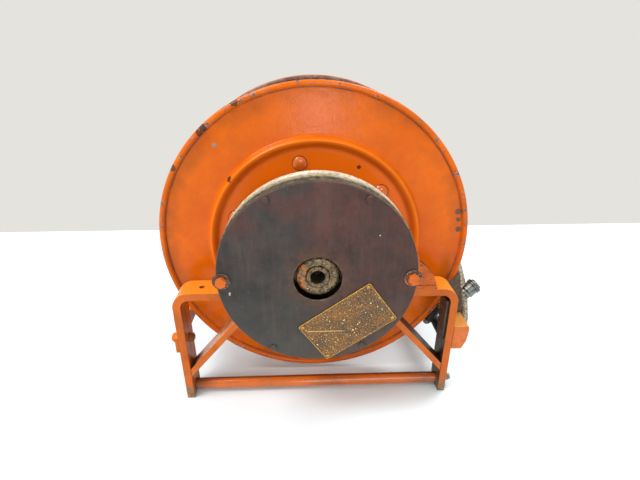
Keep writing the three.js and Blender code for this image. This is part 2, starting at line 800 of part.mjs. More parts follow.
// Body that the shaft turns in, with a boss towards the tube.
function swivelBody() {
  const front = swivelFront;
  const rear = front + swivelLength;
  const middle = front + swivelLength / 2;
  const barrel = revolve([
    [shaftRadius + runningGap, front], [swivelRadius - 3, front], [swivelRadius, front + 3],
    [swivelRadius, rear - 3], [swivelRadius - 3, rear], [0, rear],
    [0, rear - swivelEnd], [shaftRadius + runningGap, rear - swivelEnd],
  ], 24);
  const boss = rod(tubeRadius + 6, [swivelRadius - 6, middle, 0], [swivelRadius + 20, middle, 0], 16);
  const mouth = swivelRadius + 7.5;
  const socket = rod(tubeRadius + holeSlack, [mouth, middle, 0], [mouth + 20, middle, 0], 16);
  const port = rod(portRadius, [shaftRadius, middle, 0], [swivelRadius + 10, middle, 0], 12);
  const chamber = rod(shaftRadius + runningGap, [0, front - 5, 0], [0, rear - swivelEnd, 0], 24);
  return cut(join(barrel, boss), socket, port, chamber);
}

function glandNut() {
  const front = frameDepth + gap;
  const nut = rod(swivelRadius + 3, [0, front, 0], [0, front + glandLength, 0], 6);
  return cut(nut, rod(shaftRadius + runningGap, [0, front - 5, 0], [0, front + 15, 0], 24));
}

// Boss saddled on the tube and the neck that the collar turns on.
function inletCoupling() {
  const end = couplingReach + collarLength + 2 * gap + 0.4;
  const body = revolve([
    [0, 0], [saddleRadius, 0], [saddleRadius, 4], [couplingRadius, 6.5], [couplingRadius, couplingReach],
    [neckRadius, couplingReach], [neckRadius, end], [neckRadius + 1.6, end], [neckRadius + 1.6, end + 2.4],
    [couplingBore, end + 2.4], [couplingBore, 12], [0, 12],
  ], 20, false);
  return cut(aim(body, couplingAxis, couplingBase), inletTube(tubeRadius + gap));
}

// Swivel collar with two lands and a groove between them.
function couplingCollar() {
  const inner = neckRadius + runningGap;
  const from = couplingReach + gap;
  const to = from + collarLength;
  const groove = from + collarLength / 2;
  return aim(revolve([
    [inner, from], [collarRadius - 1, from], [collarRadius, from + 0.8], [collarRadius, groove - 0.9],
    [collarRadius - 1.6, groove - 0.5], [collarRadius - 1.6, groove + 0.5], [collarRadius, groove + 0.9],
    [collarRadius, to - 0.8], [collarRadius - 1, to], [inner, to],
  ], 20), couplingAxis, couplingBase);
}

function buildInlet() {
  const inlet = new THREE.Group();
  piece(inlet, 'inlet_block', inletBlock(), 'orangePaint');
  piece(inlet, 'inlet_tube', inletTube(tubeRadius), 'oliveTube');
  piece(inlet, 'inlet_coupling', inletCoupling(), 'zinc');
  piece(inlet, 'coupling_collar', couplingCollar(), 'zinc');
  const behind = new THREE.Group();
  behind.position.z = axisHeight;
  piece(behind, 'swivel_body', swivelBody(), 'bronze');
  piece(behind, 'gland_nut', glandNut(), 'bronze');
  inlet.add(behind);
  return inlet;
}

// ---- Hose guide, in a group that leans with the upright rollers -------------------------------------------

const carrierBottom = rollerLength / 2 + washerThickness + 2 * gap;
const carrierTop = carrierBottom + carrierThickness;
const plateFront = barWidth + gap;

// Plate on the back of the leg that carries one end of the bar and of the cross roller's pin.
function guideEndPlate() {
  const [x, z] = crossRollerPlace;
  const outline = new THREE.Shape();
  outline.moveTo(x - endPlateRadius, z);
  outline.absarc(x, z, endPlateRadius, Math.PI, 2 * Math.PI, false);
  outline.lineTo(x + endPlateRadius, z + endPlateRadius);
  outline.lineTo(carrierOuter, carrierTop + 6);
  outline.lineTo(-guideReach, carrierTop + 6);
  outline.lineTo(-guideReach, carrierBottom - 14);
  const plate = plateAcross(outline, plateFront, endPlateThickness, 6);
  return cut(plate, rod(pinRadius + holeSlack, [x, plateFront - 5, z], [x, plateFront + 20, z], 12));
}

function guideCarrier() {
  const from = plateFront + endPlateThickness + gap;
  const bar = box(-carrierInner, carrierOuter, from, frameDepth - from, carrierBottom, carrierTop);
  const holes = [rollerDepth, frameDepth - rollerDepth].map((y) => rod(pinRadius + holeSlack,
    [0, y, carrierBottom - 5], [0, y, carrierTop + 5], 12));
  return cut(bar, ...holes);
}

function roller(length) {
  const bore = pinRadius + runningGap;
  const end = length / 2;
  return revolve([
    [bore, -end], [rollerRadius - 1, -end], [rollerRadius, -end + 1.2],
    [rollerRadius, end - 1.2], [rollerRadius - 1, end], [bore, end],
  ], 16);
}

// Pin of an upright roller, with a domed head below it and its nut above the carrier.
function uprightPin() {
  const low = -rollerLength / 2 - gap;
  const head = revolve([[0, 0], [rollerRadius - 1, 0], [rollerRadius - 1, 2], [rollerRadius * 0.7, 6.5],
    [rollerRadius * 0.35, 9], [0, 9.6]], 12, false);
  return join(
    aim(head, [0, 0, -1], [0, 0, low]),
    rod(pinRadius, [0, 0, low - 1], [0, 0, carrierTop + 10], 10),
    hexagon(guideNut, [0, 0, carrierTop + gap], [0, 0, carrierTop + 7]));
}

function rollerWasher() {
  return aim(ring(pinRadius + holeSlack, rollerRadius + 2, 0, washerThickness, 16), [0, 0, 1],
    [0, 0, rollerLength / 2 + gap]);
}

function buildGuide() {
  const guide = new THREE.Group();
  guide.position.set(guideX, 0, guideZ);
  guide.rotation.y = rad(guideTilt);
  const [crossX, crossZ] = crossRollerPlace;
  const from = plateFront + 1;
  piece(guide, 'guide_front_plate', guideEndPlate(), 'orangePaint');
  piece(guide, 'guide_rear_plate', atRear(guideEndPlate()), 'orangePaint');
  piece(guide, 'guide_carrier', guideCarrier(), 'oliveTube');
  for (const [name, y] of [['front', rollerDepth], ['rear', frameDepth - rollerDepth]]) {
    const upright = new THREE.Group();
    upright.position.y = y;
    piece(upright, `guide_${name}_roller`, aim(roller(rollerLength), [0, 0, 1]), 'blackRoller');
    piece(upright, `guide_${name}_pin`, uprightPin(), 'bareSteel');
    piece(upright, `guide_${name}_washer`, rollerWasher(), 'bareSteel');
    guide.add(upright);
  }
  const crossLength = frameDepth - 2 * (plateFront + endPlateThickness + 1);
  const cross = piece(guide, 'guide_cross_roller', roller(crossLength), 'blackRoller');
  cross.position.set(crossX, midDepth, crossZ);
  piece(guide, 'guide_cross_pin', rod(pinRadius, [crossX, from, crossZ],
    [crossX, frameDepth - from, crossZ], 12), 'bareSteel');
  return guide;
}

// ---- Whole reel -------------------------------------------------------------------------------------------

const reel = new THREE.Group();
reel.add(buildFrame(), buildMotor(), buildDrum(), buildInlet(), buildGuide());
reel.updateMatrixWorld(true);
const extent = new THREE.Box3().setFromObject(reel, true);
const middle = extent.getCenter(new THREE.Vector3());
reel.position.set(-middle.x, -middle.y, -extent.min.z);

export default reel;
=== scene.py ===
import json
import math

import bmesh
import bpy
from mathutils import Matrix, Vector, noise

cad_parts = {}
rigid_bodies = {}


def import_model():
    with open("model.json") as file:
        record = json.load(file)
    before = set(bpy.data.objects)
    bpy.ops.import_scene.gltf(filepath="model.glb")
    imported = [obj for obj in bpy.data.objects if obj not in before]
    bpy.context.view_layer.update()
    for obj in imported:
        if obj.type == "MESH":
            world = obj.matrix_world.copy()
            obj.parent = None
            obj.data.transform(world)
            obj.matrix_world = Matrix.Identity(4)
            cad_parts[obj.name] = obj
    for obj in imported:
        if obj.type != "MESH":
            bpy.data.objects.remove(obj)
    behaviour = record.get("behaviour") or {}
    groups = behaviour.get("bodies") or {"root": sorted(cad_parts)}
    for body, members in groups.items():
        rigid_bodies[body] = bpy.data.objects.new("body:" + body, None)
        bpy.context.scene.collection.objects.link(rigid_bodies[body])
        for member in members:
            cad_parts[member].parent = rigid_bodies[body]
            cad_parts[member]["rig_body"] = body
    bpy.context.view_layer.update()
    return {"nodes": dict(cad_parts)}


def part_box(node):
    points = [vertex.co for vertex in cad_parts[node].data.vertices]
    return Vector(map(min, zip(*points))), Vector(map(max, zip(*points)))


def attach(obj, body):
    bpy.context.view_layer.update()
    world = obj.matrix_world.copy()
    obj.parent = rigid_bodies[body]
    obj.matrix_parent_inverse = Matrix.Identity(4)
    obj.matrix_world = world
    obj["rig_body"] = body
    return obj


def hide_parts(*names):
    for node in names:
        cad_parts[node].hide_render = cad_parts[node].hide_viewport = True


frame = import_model()

# ---- Legs, braces and doubler ------------------------------------------------------------------------
# Half-inch flat bar, sawn, bent hot and arc welded, then coated with glossy orange alkyd enamel. It has
# chipped to steel at the corners. Inward faces are darker brown, and grease has turned the braces' tops
# near black.

nodes = frame["nodes"]
MM = 0.001
shaft_low, shaft_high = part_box("shaft")
reel_x = (shaft_low.x + shaft_high.x) / 2
leg_low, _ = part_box("front_left_leg")
front_y = leg_low.y
axis_z = 262.5                      # reel axis above the floor, mm
frame_depth = 304.0                 # front face of the front legs to rear face of the rear legs, mm


def at(x, y, z):
    """A place given in mm from the reel axis, the front legs' faces and the floor."""
    return Vector((reel_x + x * MM, front_y + y * MM, z * MM))


def linear(colour):
    """The linear value of an sRGB hex colour."""
    parts = [int(colour[i:i + 2], 16) / 255 for i in (1, 3, 5)]
    return [c / 12.92 if c <= 0.04045 else ((c + 0.055) / 1.055) ** 2.4 for c in parts] + [1.0]


def add_node(tree, kind, settings=None):
    """Adds a node. A setting is a property or an input, given as a value, a hex colour or a socket."""
    node = tree.nodes.new(kind)
    for key, value in (settings or {}).items():
        if isinstance(key, str) and hasattr(node, key):
            setattr(node, key, value)
        elif isinstance(value, bpy.types.NodeSocket):
            tree.links.new(value, node.inputs[key])
        else:
            node.inputs[key].default_value = linear(value) if isinstance(value, str) else value
    return node


def per(size):
    """The texture scale whose grain is size mm."""
    return 1.0 / (size * MM)


def speckle(tree, where, size, low, high, detail=3.0, roughness=0.55, distortion=0.0):
    """A mask of blotches about size mm across: 0 where the noise is under low, 1 over high."""
    cloud = add_node(tree, "ShaderNodeTexNoise", {
        "Scale": per(size), "Detail": detail, "Roughness": roughness, "Distortion": distortion,
        "Vector": where})
    return add_node(tree, "ShaderNodeMapRange", {0: cloud.outputs[0], 1: low, 2: high}).outputs[0]


def stained(tree, colour, over, mask, strength=1.0):
    """Lays a second colour over the first through a mask, at a strength."""
    amount = add_node(tree, "ShaderNodeMath", {"operation": "MULTIPLY", 0: mask, 1: strength}).outputs[0]
    return add_node(tree, "ShaderNodeMix", {
        "data_type": "RGBA", 0: amount, 6: colour, 7: over}).outputs[2]


def new_material(name, **settings):
    """An empty material with its shader; the settings are the same all over the surface."""
    material = bpy.data.materials.new(name)
    material.use_nodes = True
    tree = material.node_tree
    tree.nodes.clear()
    shader = add_node(tree, "ShaderNodeBsdfPrincipled", settings)
    add_node(tree, "ShaderNodeOutputMaterial", {0: shader.outputs[0]})
    place = add_node(tree, "ShaderNodeTexCoord").outputs["Object"]
    return material, tree, shader, place


def surfaced(tree, shader, colour, gloss_mask, smooth, rough, height, strength, depth):
    """Joins the colour, a roughness between two values and a relief depth mm deep to the shader."""
    tree.links.new(colour, shader.inputs["Base Color"])
    matt = add_node(tree, "ShaderNodeMapRange", {0: gloss_mask, 3: smooth, 4: rough})
    tree.links.new(matt.outputs[0], shader.inputs["Roughness"])
    bump = add_node(tree, "ShaderNodeBump", {
        "Strength": strength, "Distance": depth * MM, "Height": height})
    tree.links.new(bump.outputs[0], shader.inputs["Normal"])


def corner_wear(tree, reach):
    """1 on outside and inside corners, within about reach mm of the edge."""
    soft = add_node(tree, "ShaderNodeBevel", {"samples": 4, "Radius": reach * MM}).outputs[0]
    face = add_node(tree, "ShaderNodeNewGeometry").outputs["Normal"]
    alike = add_node(tree, "ShaderNodeVectorMath", {"operation": "DOT_PRODUCT", 0: soft, 1: face})
    return add_node(tree, "ShaderNodeMapRange", {0: alike.outputs["Value"], 1: 0.995, 2: 0.86}).outputs[0]


def facing(tree, direction, low=0.6, high=0.9):
    """1 on faces that look along a direction."""
    face = add_node(tree, "ShaderNodeNewGeometry").outputs["Normal"]
    along = add_node(tree, "ShaderNodeVectorMath", {"operation": "DOT_PRODUCT", 0: face, 1: direction})
    return add_node(tree, "ShaderNodeMapRange", {0: along.outputs["Value"], 1: low, 2: high}).outputs[0]


def between(tree, value, low, high, fade):
    """1 where a socket's value in metres lies from low to high mm, fading out over fade mm."""
    rise = add_node(tree, "ShaderNodeMapRange", {0: value, 1: (low - fade) * MM, 2: low * MM}).outputs[0]
    fall = add_node(tree, "ShaderNodeMapRange", {
        0: value, 1: (high + fade) * MM, 2: high * MM}).outputs[0]
    return add_node(tree, "ShaderNodeMath", {"operation": "MULTIPLY", 0: rise, 1: fall}).outputs[0]


def enamel(name, paint, deep, chipping=0.5, soiling=0.5, gloss=0.32, reach=1.6):
    """Alkyd enamel on hot-rolled steel: an even film with orange peel that makes the lamps' shine ragged,
    thin places, brown grime in patches, hairline scratches, and chips with a dark rim that show steel."""
    material, tree, shader, place = new_material(name, **{"Specular IOR Level": 0.18})
    colour = stained(tree, paint, deep, speckle(tree, place, 70, 0.35, 0.68, 4))
    colour = stained(tree, colour, deep, speckle(tree, place, 6, 0.42, 0.75), 0.4)
    film = add_node(tree, "ShaderNodeMath", {
        "operation": "MULTIPLY", 0: speckle(tree, place, 38, 0.50, 0.72, 6, 0.65), 1: soiling}).outputs[0]
    grit = add_node(tree, "ShaderNodeMath", {
        "operation": "MULTIPLY", 0: speckle(tree, place, 2.6, 0.60, 0.70, 4), 1: soiling * 0.8}).outputs[0]
    dirty = add_node(tree, "ShaderNodeMath", {
        "operation": "ADD", "use_clamp": True, 0: film, 1: grit}).outputs[0]
    colour = stained(tree, colour, "#5b3a1f", dirty, 0.6)
    lines = add_node(tree, "ShaderNodeMapping", {
        "Rotation": (0.3, 0.8, 0.5), "Scale": (1.0, 1.0, 0.06), "Vector": place}).outputs[0]
    colour = stained(tree, colour, "#e89a5c", speckle(tree, lines, 3.0, 0.68, 0.72, 2), 0.35 * soiling)
    worn = add_node(tree, "ShaderNodeMath", {
        "operation": "MULTIPLY", 0: corner_wear(tree, reach), 1: 0.30})
    flakes = add_node(tree, "ShaderNodeTexNoise", {
        "Scale": per(9), "Detail": 6.0, "Roughness": 0.62, "Distortion": 0.6, "Vector": place}).outputs[0]
    level = add_node(tree, "ShaderNodeMath", {
        "operation": "ADD", 0: flakes, 1: worn.outputs[0]}).outputs[0]
    high = 0.86 - 0.14 * chipping
    chip = add_node(tree, "ShaderNodeMapRange", {0: level, 1: high, 2: high + 0.02}).outputs[0]
    rim = add_node(tree, "ShaderNodeMapRange", {0: level, 1: high - 0.03, 2: high}).outputs[0]
    metal = stained(tree, "#54483f", "#8a8078", speckle(tree, place, 3, 0.4, 0.6))
    colour = stained(tree, colour, "#7a3610", rim, 0.5)
    colour = stained(tree, colour, metal, chip)
    peel = add_node(tree, "ShaderNodeTexNoise", {
        "Scale": per(2.6), "Detail": 2.0, "Vector": place}).outputs[0]
    sag = add_node(tree, "ShaderNodeTexNoise", {
        "Scale": per(16), "Detail": 2.0, "Vector": place}).outputs[0]
    height = add_node(tree, "ShaderNodeMix", {0: 0.6, 2: peel, 3: sag}).outputs[0]
    sunk = add_node(tree, "ShaderNodeMath", {
        "operation": "MULTIPLY_ADD", 0: chip, 1: -0.5, 2: height}).outputs[0]
    surfaced(tree, shader, colour, dirty, gloss, gloss + 0.34, sunk, 0.35, 0.5)
    return material, tree, shader, place, colour


# The bars' enamel is darker brown on the inward faces, and lighter on the upward ones as painted light
# from above. The rear frame's front- and right-facing faces are near black, and dirt clings to the feet.
orange_bar, tree, shader, place, colour = enamel("orange_enamel_on_bar", "#cb641a", "#b05214", 0.55, 0.5)
spot = add_node(tree, "ShaderNodeSeparateXYZ", {0: place})
# Darker, mottled brown on the right side's inward-looking faces.
dark_mottle = stained(tree, "#332a22", "#54442f", speckle(tree, place, 14, 0.4, 0.62, 6))
right_side = add_node(tree, "ShaderNodeMapRange", {0: spot.outputs[0], 1: 0.0, 2: 10 * MM}).outputs[0]
inward = add_node(tree, "ShaderNodeMath", {
    "operation": "MULTIPLY", 0: facing(tree, (-1, 0, 0)), 1: right_side}).outputs[0]
colour = stained(tree, colour, dark_mottle, inward, 0.93)
streaks = add_node(tree, "ShaderNodeVectorMath", {
    "operation": "MULTIPLY", 0: place, 1: (1, 1, 0.22)}).outputs[0]
leftward = add_node(tree, "ShaderNodeMath", {
    "operation": "MULTIPLY", 0: facing(tree, (1, 0, 0)),
    1: speckle(tree, streaks, 11, 0.36, 0.6, 6)}).outputs[0]
colour = stained(tree, colour, "#74502e", leftward, 0.8)
# Upward faces painted lighter orange: painted light from the overhead lamps.
upward = facing(tree, (0, 0, 1), 0.3, 0.6)
colour = stained(tree, colour, "#e58a26", upward, 0.75)
# Near black on the rear frame's front- and right-facing faces.
behind = add_node(tree, "ShaderNodeMapRange", {
    0: spot.outputs[1], 1: front_y + 240 * MM, 2: front_y + 250 * MM}).outputs[0]
front_and_right_faces = add_node(tree, "ShaderNodeMath", {
    "operation": "MAXIMUM", 0: facing(tree, (0, -1, 0)), 1: facing(tree, (1, 0, 0))}).outputs[0]
behind = add_node(tree, "ShaderNodeMath", {"operation": "MULTIPLY", 0: behind, 1: front_and_right_faces}).outputs[0]
near_black_mottle = stained(tree, "#262821", "#4a4232", speckle(tree, place, 16, 0.45, 0.65, 5))
colour = stained(tree, colour, near_black_mottle, behind, 0.9)
low_down = add_node(tree, "ShaderNodeMapRange", {0: spot.outputs[2], 1: 32 * MM, 2: 14 * MM}).outputs[0]
feet = add_node(tree, "ShaderNodeMath", {
    "operation": "MULTIPLY", 0: low_down, 1: speckle(tree, place, 7, 0.36, 0.46, 6)}).outputs[0]
floor_dirt = stained(tree, "#5f5a45", "#8a8164", speckle(tree, place, 3, 0.45, 0.6))
colour = stained(tree, colour, floor_dirt, feet, 0.9)
tree.links.new(colour, shader.inputs["Base Color"])

# The braces' tops hold the thickest dirt, so they have their own coat of the same enamel.
orange_brace, tree, shader, place, colour = enamel(
    "grimy_enamel_on_brace", "#cf6a1e", "#b65617", 0.5, 0.6)
spot = add_node(tree, "ShaderNodeSeparateXYZ", {0: place})
dark_mottle = stained(tree, "#23271f", "#4a4433", speckle(tree, place, 9, 0.45, 0.62, 6))
upward = facing(tree, (0, 0, 1), 0.35, 0.6)
colour = stained(tree, colour, dark_mottle, upward, 0.94)
scraped = between(tree, spot.outputs[0], reel_x / MM - 196, reel_x / MM - 120, 14)
scraped = add_node(tree, "ShaderNodeMath", {"operation": "MULTIPLY", 0: scraped, 1: upward}).outputs[0]
pale = stained(tree, "#d79a72", "#c4713c", speckle(tree, place, 12, 0.48, 0.62, 6))
colour = stained(tree, colour, pale, scraped, 0.95)
tree.links.new(colour, shader.inputs["Base Color"])

# Where oil has run down and rust has come up under it, the steel is dark brown with only a dull shine.
oily, tree, shader, place = new_material("oily_rust", **{"Specular IOR Level": 0.35})
colour = stained(tree, "#453a2e", "#5b4a38", speckle(tree, place, 11, 0.4, 0.62, 6))
colour = stained(tree, colour, "#28211a", speckle(tree, place, 4, 0.5, 0.65, 5), 0.8)
colour = stained(tree, colour, "#1d1814", corner_wear(tree, 1.4), 0.6)
grain = add_node(tree, "ShaderNodeTexNoise", {"Scale": per(3), "Detail": 5.0, "Vector": place}).outputs[0]
surfaced(tree, shader, colour, speckle(tree, place, 8, 0.3, 0.7, 5), 0.4, 0.75, grain, 0.5, 0.4)


def make_piece(name, work, material, body, stands_for=(), edge=0.0, steps=2, sharp=38):
    """Turns a bmesh in metres into a smooth piece that rides on a body, its corners eased by edge mm."""
    bmesh.ops.recalc_face_normals(work, faces=work.faces)
    for face in work.faces:
        face.smooth = True
    if not edge:
        for line in work.edges:
            line.smooth = len(line.link_faces) == 2 and line.calc_face_angle(0) < math.radians(sharp)
    mesh = bpy.data.meshes.new(name)
    work.to_mesh(mesh)
    work.free()
    mesh.materials.append(material)
    piece = bpy.data.objects.new(name, mesh)
    bpy.context.scene.collection.objects.link(piece)
    if edge:
        bevel = piece.modifiers.new("eased_corners", "BEVEL")
        bevel.width = edge * MM
        bevel.segments = steps
        bevel.limit_method = "ANGLE"
        bevel.angle_limit = math.radians(sharp)
        bevel.harden_normals = True
    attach(piece, body)
    if stands_for:
        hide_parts(*stands_for)
    return piece


def eased(node, material, edge=0.8, steps=2, sharp=30):
    """The CAD piece with its facets welded into one skin and its corners eased."""
    source = nodes[node]
    work = bmesh.new()
    corners = [work.verts.new(v.co) for v in source.data.vertices]
    for polygon in source.data.polygons:
        work.faces.new([corners[i] for i in polygon.vertices])
    bmesh.ops.remove_doubles(work, verts=work.verts, dist=2e-6)
    bmesh.ops.dissolve_limit(work, angle_limit=math.radians(0.5), verts=work.verts, edges=work.edges)
    return make_piece(f"{node}_finished", work, material, source["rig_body"], (node,),
                      edge, steps, sharp)


for node in ("front_left_leg", "front_right_leg", "rear_left_leg", "rear_right_leg"):
    eased(node, orange_bar, 1.1, 3)
eased("right_leg_doubler", oily, 0.8)
for node in ("front_left_brace", "front_right_brace", "rear_left_brace", "rear_right_brace"):
    eased(node, orange_brace, 0.8)

# ---- Bearing plates and bushes -----------------------------------------------------------------------
# Flame-cut plate welded on top of the two arms, in the same orange enamel. The bushes are cast bronze,
# turned and pressed in, dull with old grease.

# The plates' flame-cut upward edges are nearly black; their faces are rough with
# spatter, and a cracked line of paint marks the weld to the right arm.
orange_plate, tree, shader, place, colour = enamel(
    "spattered_enamel_on_plate", "#cf641b", "#b25015", 0.9, 0.7)
colour = stained(tree, colour, "#5a2c12", speckle(tree, place, 4.5, 0.60, 0.64, 3), 0.8)
# Upward-facing edges made nearly black.
colour = stained(tree, colour, "#2a2d24", facing(tree, (0, 0, 1), 0.25, 0.5), 0.93)
spot = add_node(tree, "ShaderNodeSeparateXYZ", {0: place})
wander = add_node(tree, "ShaderNodeTexNoise", {
    "Scale": per(9), "Detail": 4.0, "Vector": place}).outputs[0]
for axis, low in ((0, reel_x / MM + 189.2), (2, 219.6)):
    line = add_node(tree, "ShaderNodeMath", {
        "operation": "MULTIPLY_ADD", 0: wander, 1: 5 * MM, 2: spot.outputs[axis]}).outputs[0]
    colour = stained(tree, colour, "#3a1f10", between(tree, line, low + 2.2, low + 3.0, 0.5), 0.8)
tree.links.new(colour, shader.inputs["Base Color"])

for node in ("front_bearing_plate", "rear_bearing_plate"):
    eased(node, orange_plate, 0.9)


def weathered(name, base, stains, grain, gloss, relief, **settings):
    """A base colour under stains, each a colour, a strength and its speckles. The grain is a size and
    detail, the gloss its patches' speckles and two roughnesses, and the relief a strength and a depth in
    mm."""
    material, tree, shader, place = new_material(name, **settings)
    colour = base
    for over, strength, *spots in stains:
        colour = stained(tree, colour, over, speckle(tree, place, *spots), strength)
    size, detail = grain
    height = add_node(tree, "ShaderNodeTexNoise", {
        "Scale": per(size), "Detail": detail, "Vector": place}).outputs[0]
    patches, smooth, rough = gloss
    surfaced(tree, shader, colour, speckle(tree, place, *patches), smooth, rough, height, *relief)
    return material


# Cast and turned bronze: a brown metal whose shine breaks up where old grease lies on it.
bronze = weathered(
    "turned_bronze", "#8f6f3d",
    (("#5a4428", 1.0, 12, 0.35, 0.7, 5), ("#332a1e", 1.0, 25, 0.5, 0.7, 6)),
    (1.6, 4.0), ((9, 0.3, 0.7), 0.3, 0.62), (0.2, 0.2), Metallic=1.0)

for node in ("front_bearing", "rear_bearing"):
    eased(node, bronze, 0.5)

# ---- Tie bars, side rail and its bolts ---------------------------------------------------------------
# Round bar with threaded ends, and a flat rail held by domed bolts. All were painted over when fitted, so
# thread and nuts are orange too, with grease and bare steel on the ends.

# Nuts, bolts and hubs: darker, grimy enamel, and brown grease on the nuts inside the left legs.
orange_hardware, tree, shader, place, colour = enamel(
    "orange_enamel_on_hardware", "#d9681c", "#a94c16", 0.9, 0.8, 0.4, 1.0)
across = add_node(tree, "ShaderNodeSeparateXYZ", {0: place}).outputs[0]
inner_nut = between(tree, across, reel_x / MM - 216, reel_x / MM - 190, 1)
colour = stained(tree, colour, "#6b4a2e", inner_nut, 0.85)
tree.links.new(colour, shader.inputs["Base Color"])

# Round rods: a smooth, shiny coat with rust to the right, a dark band of painted shade on top and bare,
# greasy ends.
orange_rod, tree, shader, place, colour = enamel(
    "orange_enamel_on_rod", "#d4691c", "#b85818", 0.35, 0.6, 0.16, 1.0)
shader.inputs["Specular IOR Level"].default_value = 0.5
spot = add_node(tree, "ShaderNodeSeparateXYZ", {0: place})
right_end = add_node(tree, "ShaderNodeMapRange", {0: spot.outputs[0], 1: 135 * MM, 2: 190 * MM}).outputs[0]
rusted = add_node(tree, "ShaderNodeMath", {
    "operation": "MULTIPLY", 0: right_end, 1: speckle(tree, place, 16, 0.34, 0.5, 6)}).outputs[0]
colour = stained(tree, colour, "#7a4a2a", rusted, 0.85)
outside = add_node(tree, "ShaderNodeMapRange", {0: spot.outputs[0], 1: 210 * MM, 2: 211 * MM}).outputs[0]
bare_end = stained(tree, "#6f6450", "#8a7a5e", speckle(tree, place, 3, 0.4, 0.6))
colour = stained(tree, colour, bare_end, outside)
left_end = add_node(tree, "ShaderNodeMapRange", {
    0: spot.outputs[0], 1: -190 * MM, 2: -235 * MM}).outputs[0]
colour = stained(tree, colour, "#2f2218", left_end, 0.8)
# Painted shade on the rod's top, where the drum above keeps the overhead light off.
topmost = facing(tree, (0, 0.35, 0.94), 0.86, 0.96)
colour = stained(tree, colour, "#3c2a20", topmost, 0.75)
tree.links.new(colour, shader.inputs["Base Color"])

for node in ("front_tie_bar", "rear_tie_bar"):
    eased(node, orange_rod, 0.5)
eased("left_side_rail", orange_bar, 0.8)
for node in ("front_rail_bolt", "rear_rail_bolt"):
    eased(node, orange_hardware, 0.6)

# ---- Spring case and cover ---------------------------------------------------------------------------
# Two pressed steel pans, 2 mm thick. The case is pale grey; the cover was dark grey enamel and has gone
# brown with rust and oil, most on the right. Its rolled edge is dented and its skirt worn to bare metal.

case_radius, case_front, skirt, sheet = 142.8, -49.0, 16.0, 2.0
case_outer = case_radius + 1.8


def turned(profile, place, along=(0, 1, 0), steps=96, closed=True):
    """Spins an outline of [radius, distance along] in mm about a line through place, as a lathe does."""
    work = bmesh.new()
    turn = Vector((0, 1, 0)).rotation_difference(Vector(along)).to_matrix().to_4x4()
    seat = Matrix.Translation(place) @ turn
    rings = []
    for radius, along_mm in profile:
        count = steps if radius > 1e-6 else 1
        rings.append([work.verts.new(seat @ Vector((
            radius * MM * math.cos(math.tau * i / steps), along_mm * MM,
            radius * MM * math.sin(math.tau * i / steps)))) for i in range(count)])
    for lower, upper in zip(rings, rings[1:] + (rings[:1] if closed else [])):
        for i in range(steps):
            j = (i + 1) % steps
            ring = [lower[i % len(lower)], lower[j % len(lower)],
                    upper[j % len(upper)], upper[i % len(upper)]]
            corners = list(dict.fromkeys(ring))
            if len(corners) > 2:
                work.faces.new(corners)
    return work


def rounded(radius, depth, corner, steps, start, stop):
    """Points of a round corner about (radius, depth), between two angles in degrees."""
    return [(radius + corner * math.cos(math.radians(start + (stop - start) * i / steps)),
             depth + corner * math.sin(math.radians(start + (stop - start) * i / steps)))
            for i in range(steps + 1)]


def from_axis(tree, place):
    """How far a point lies from the reel's axis, in metres."""
    centred = add_node(tree, "ShaderNodeVectorMath", {
        "operation": "SUBTRACT", 0: place, 1: at(0, 0, axis_z)})
    flat = add_node(tree, "ShaderNodeVectorMath", {
        "operation": "MULTIPLY", 0: centred.outputs[0], 1: (1, 0, 1)})
    return add_node(tree, "ShaderNodeVectorMath", {
        "operation": "LENGTH", 0: flat.outputs[0]}).outputs["Value"]


# Pale grey enamel gone yellow, with brown spots of rust and a smear of oil near the seam.
case_paint, tree, shader, place = new_material("pale_grey_enamel", **{"Specular IOR Level": 0.3})
colour = stained(tree, "#d6cfba", "#aaa28a", speckle(tree, place, 45, 0.35, 0.7, 5))
colour = stained(tree, colour, "#6a624f", speckle(tree, place, 6, 0.50, 0.66, 6), 0.8)
colour = stained(tree, colour, "#54402c", speckle(tree, place, 3, 0.62, 0.7, 4))
depth = add_node(tree, "ShaderNodeSeparateXYZ", {0: place}).outputs[1]
seam = add_node(tree, "ShaderNodeMapRange", {
    0: depth, 1: front_y - 14 * MM, 2: front_y - 30 * MM}).outputs[0]
oil_smear = stained(tree, "#3f3a2b", "#7c745a", speckle(tree, place, 5, 0.42, 0.58, 5))
colour = stained(tree, colour, oil_smear, seam, 0.85)
grain = add_node(tree, "ShaderNodeTexNoise", {"Scale": per(4), "Detail": 5.0, "Vector": place}).outputs[0]
surfaced(tree, shader, colour, speckle(tree, place, 14, 0.3, 0.7), 0.45, 0.75, grain, 0.3, 0.4)

shaft_hole, case_back, pan_front = 20.7, -0.3, case_front + skirt + 0.3
profile = [(shaft_hole, case_back), (case_outer - 3, case_back)]
profile += rounded(case_outer - 3, case_back - 3, 3, 5, 90, 0)
profile += [(case_outer, pan_front), (case_outer - sheet, pan_front)]
profile += rounded(case_outer - 3, case_back - 3, 1, 4, 0, 90)
profile += [(shaft_hole, case_back - sheet)]
make_piece("spring_case_pan", turned(profile, at(0, 0, axis_z), steps=160), case_paint, "frame",
           ("spring_case",), 0.3, 1)

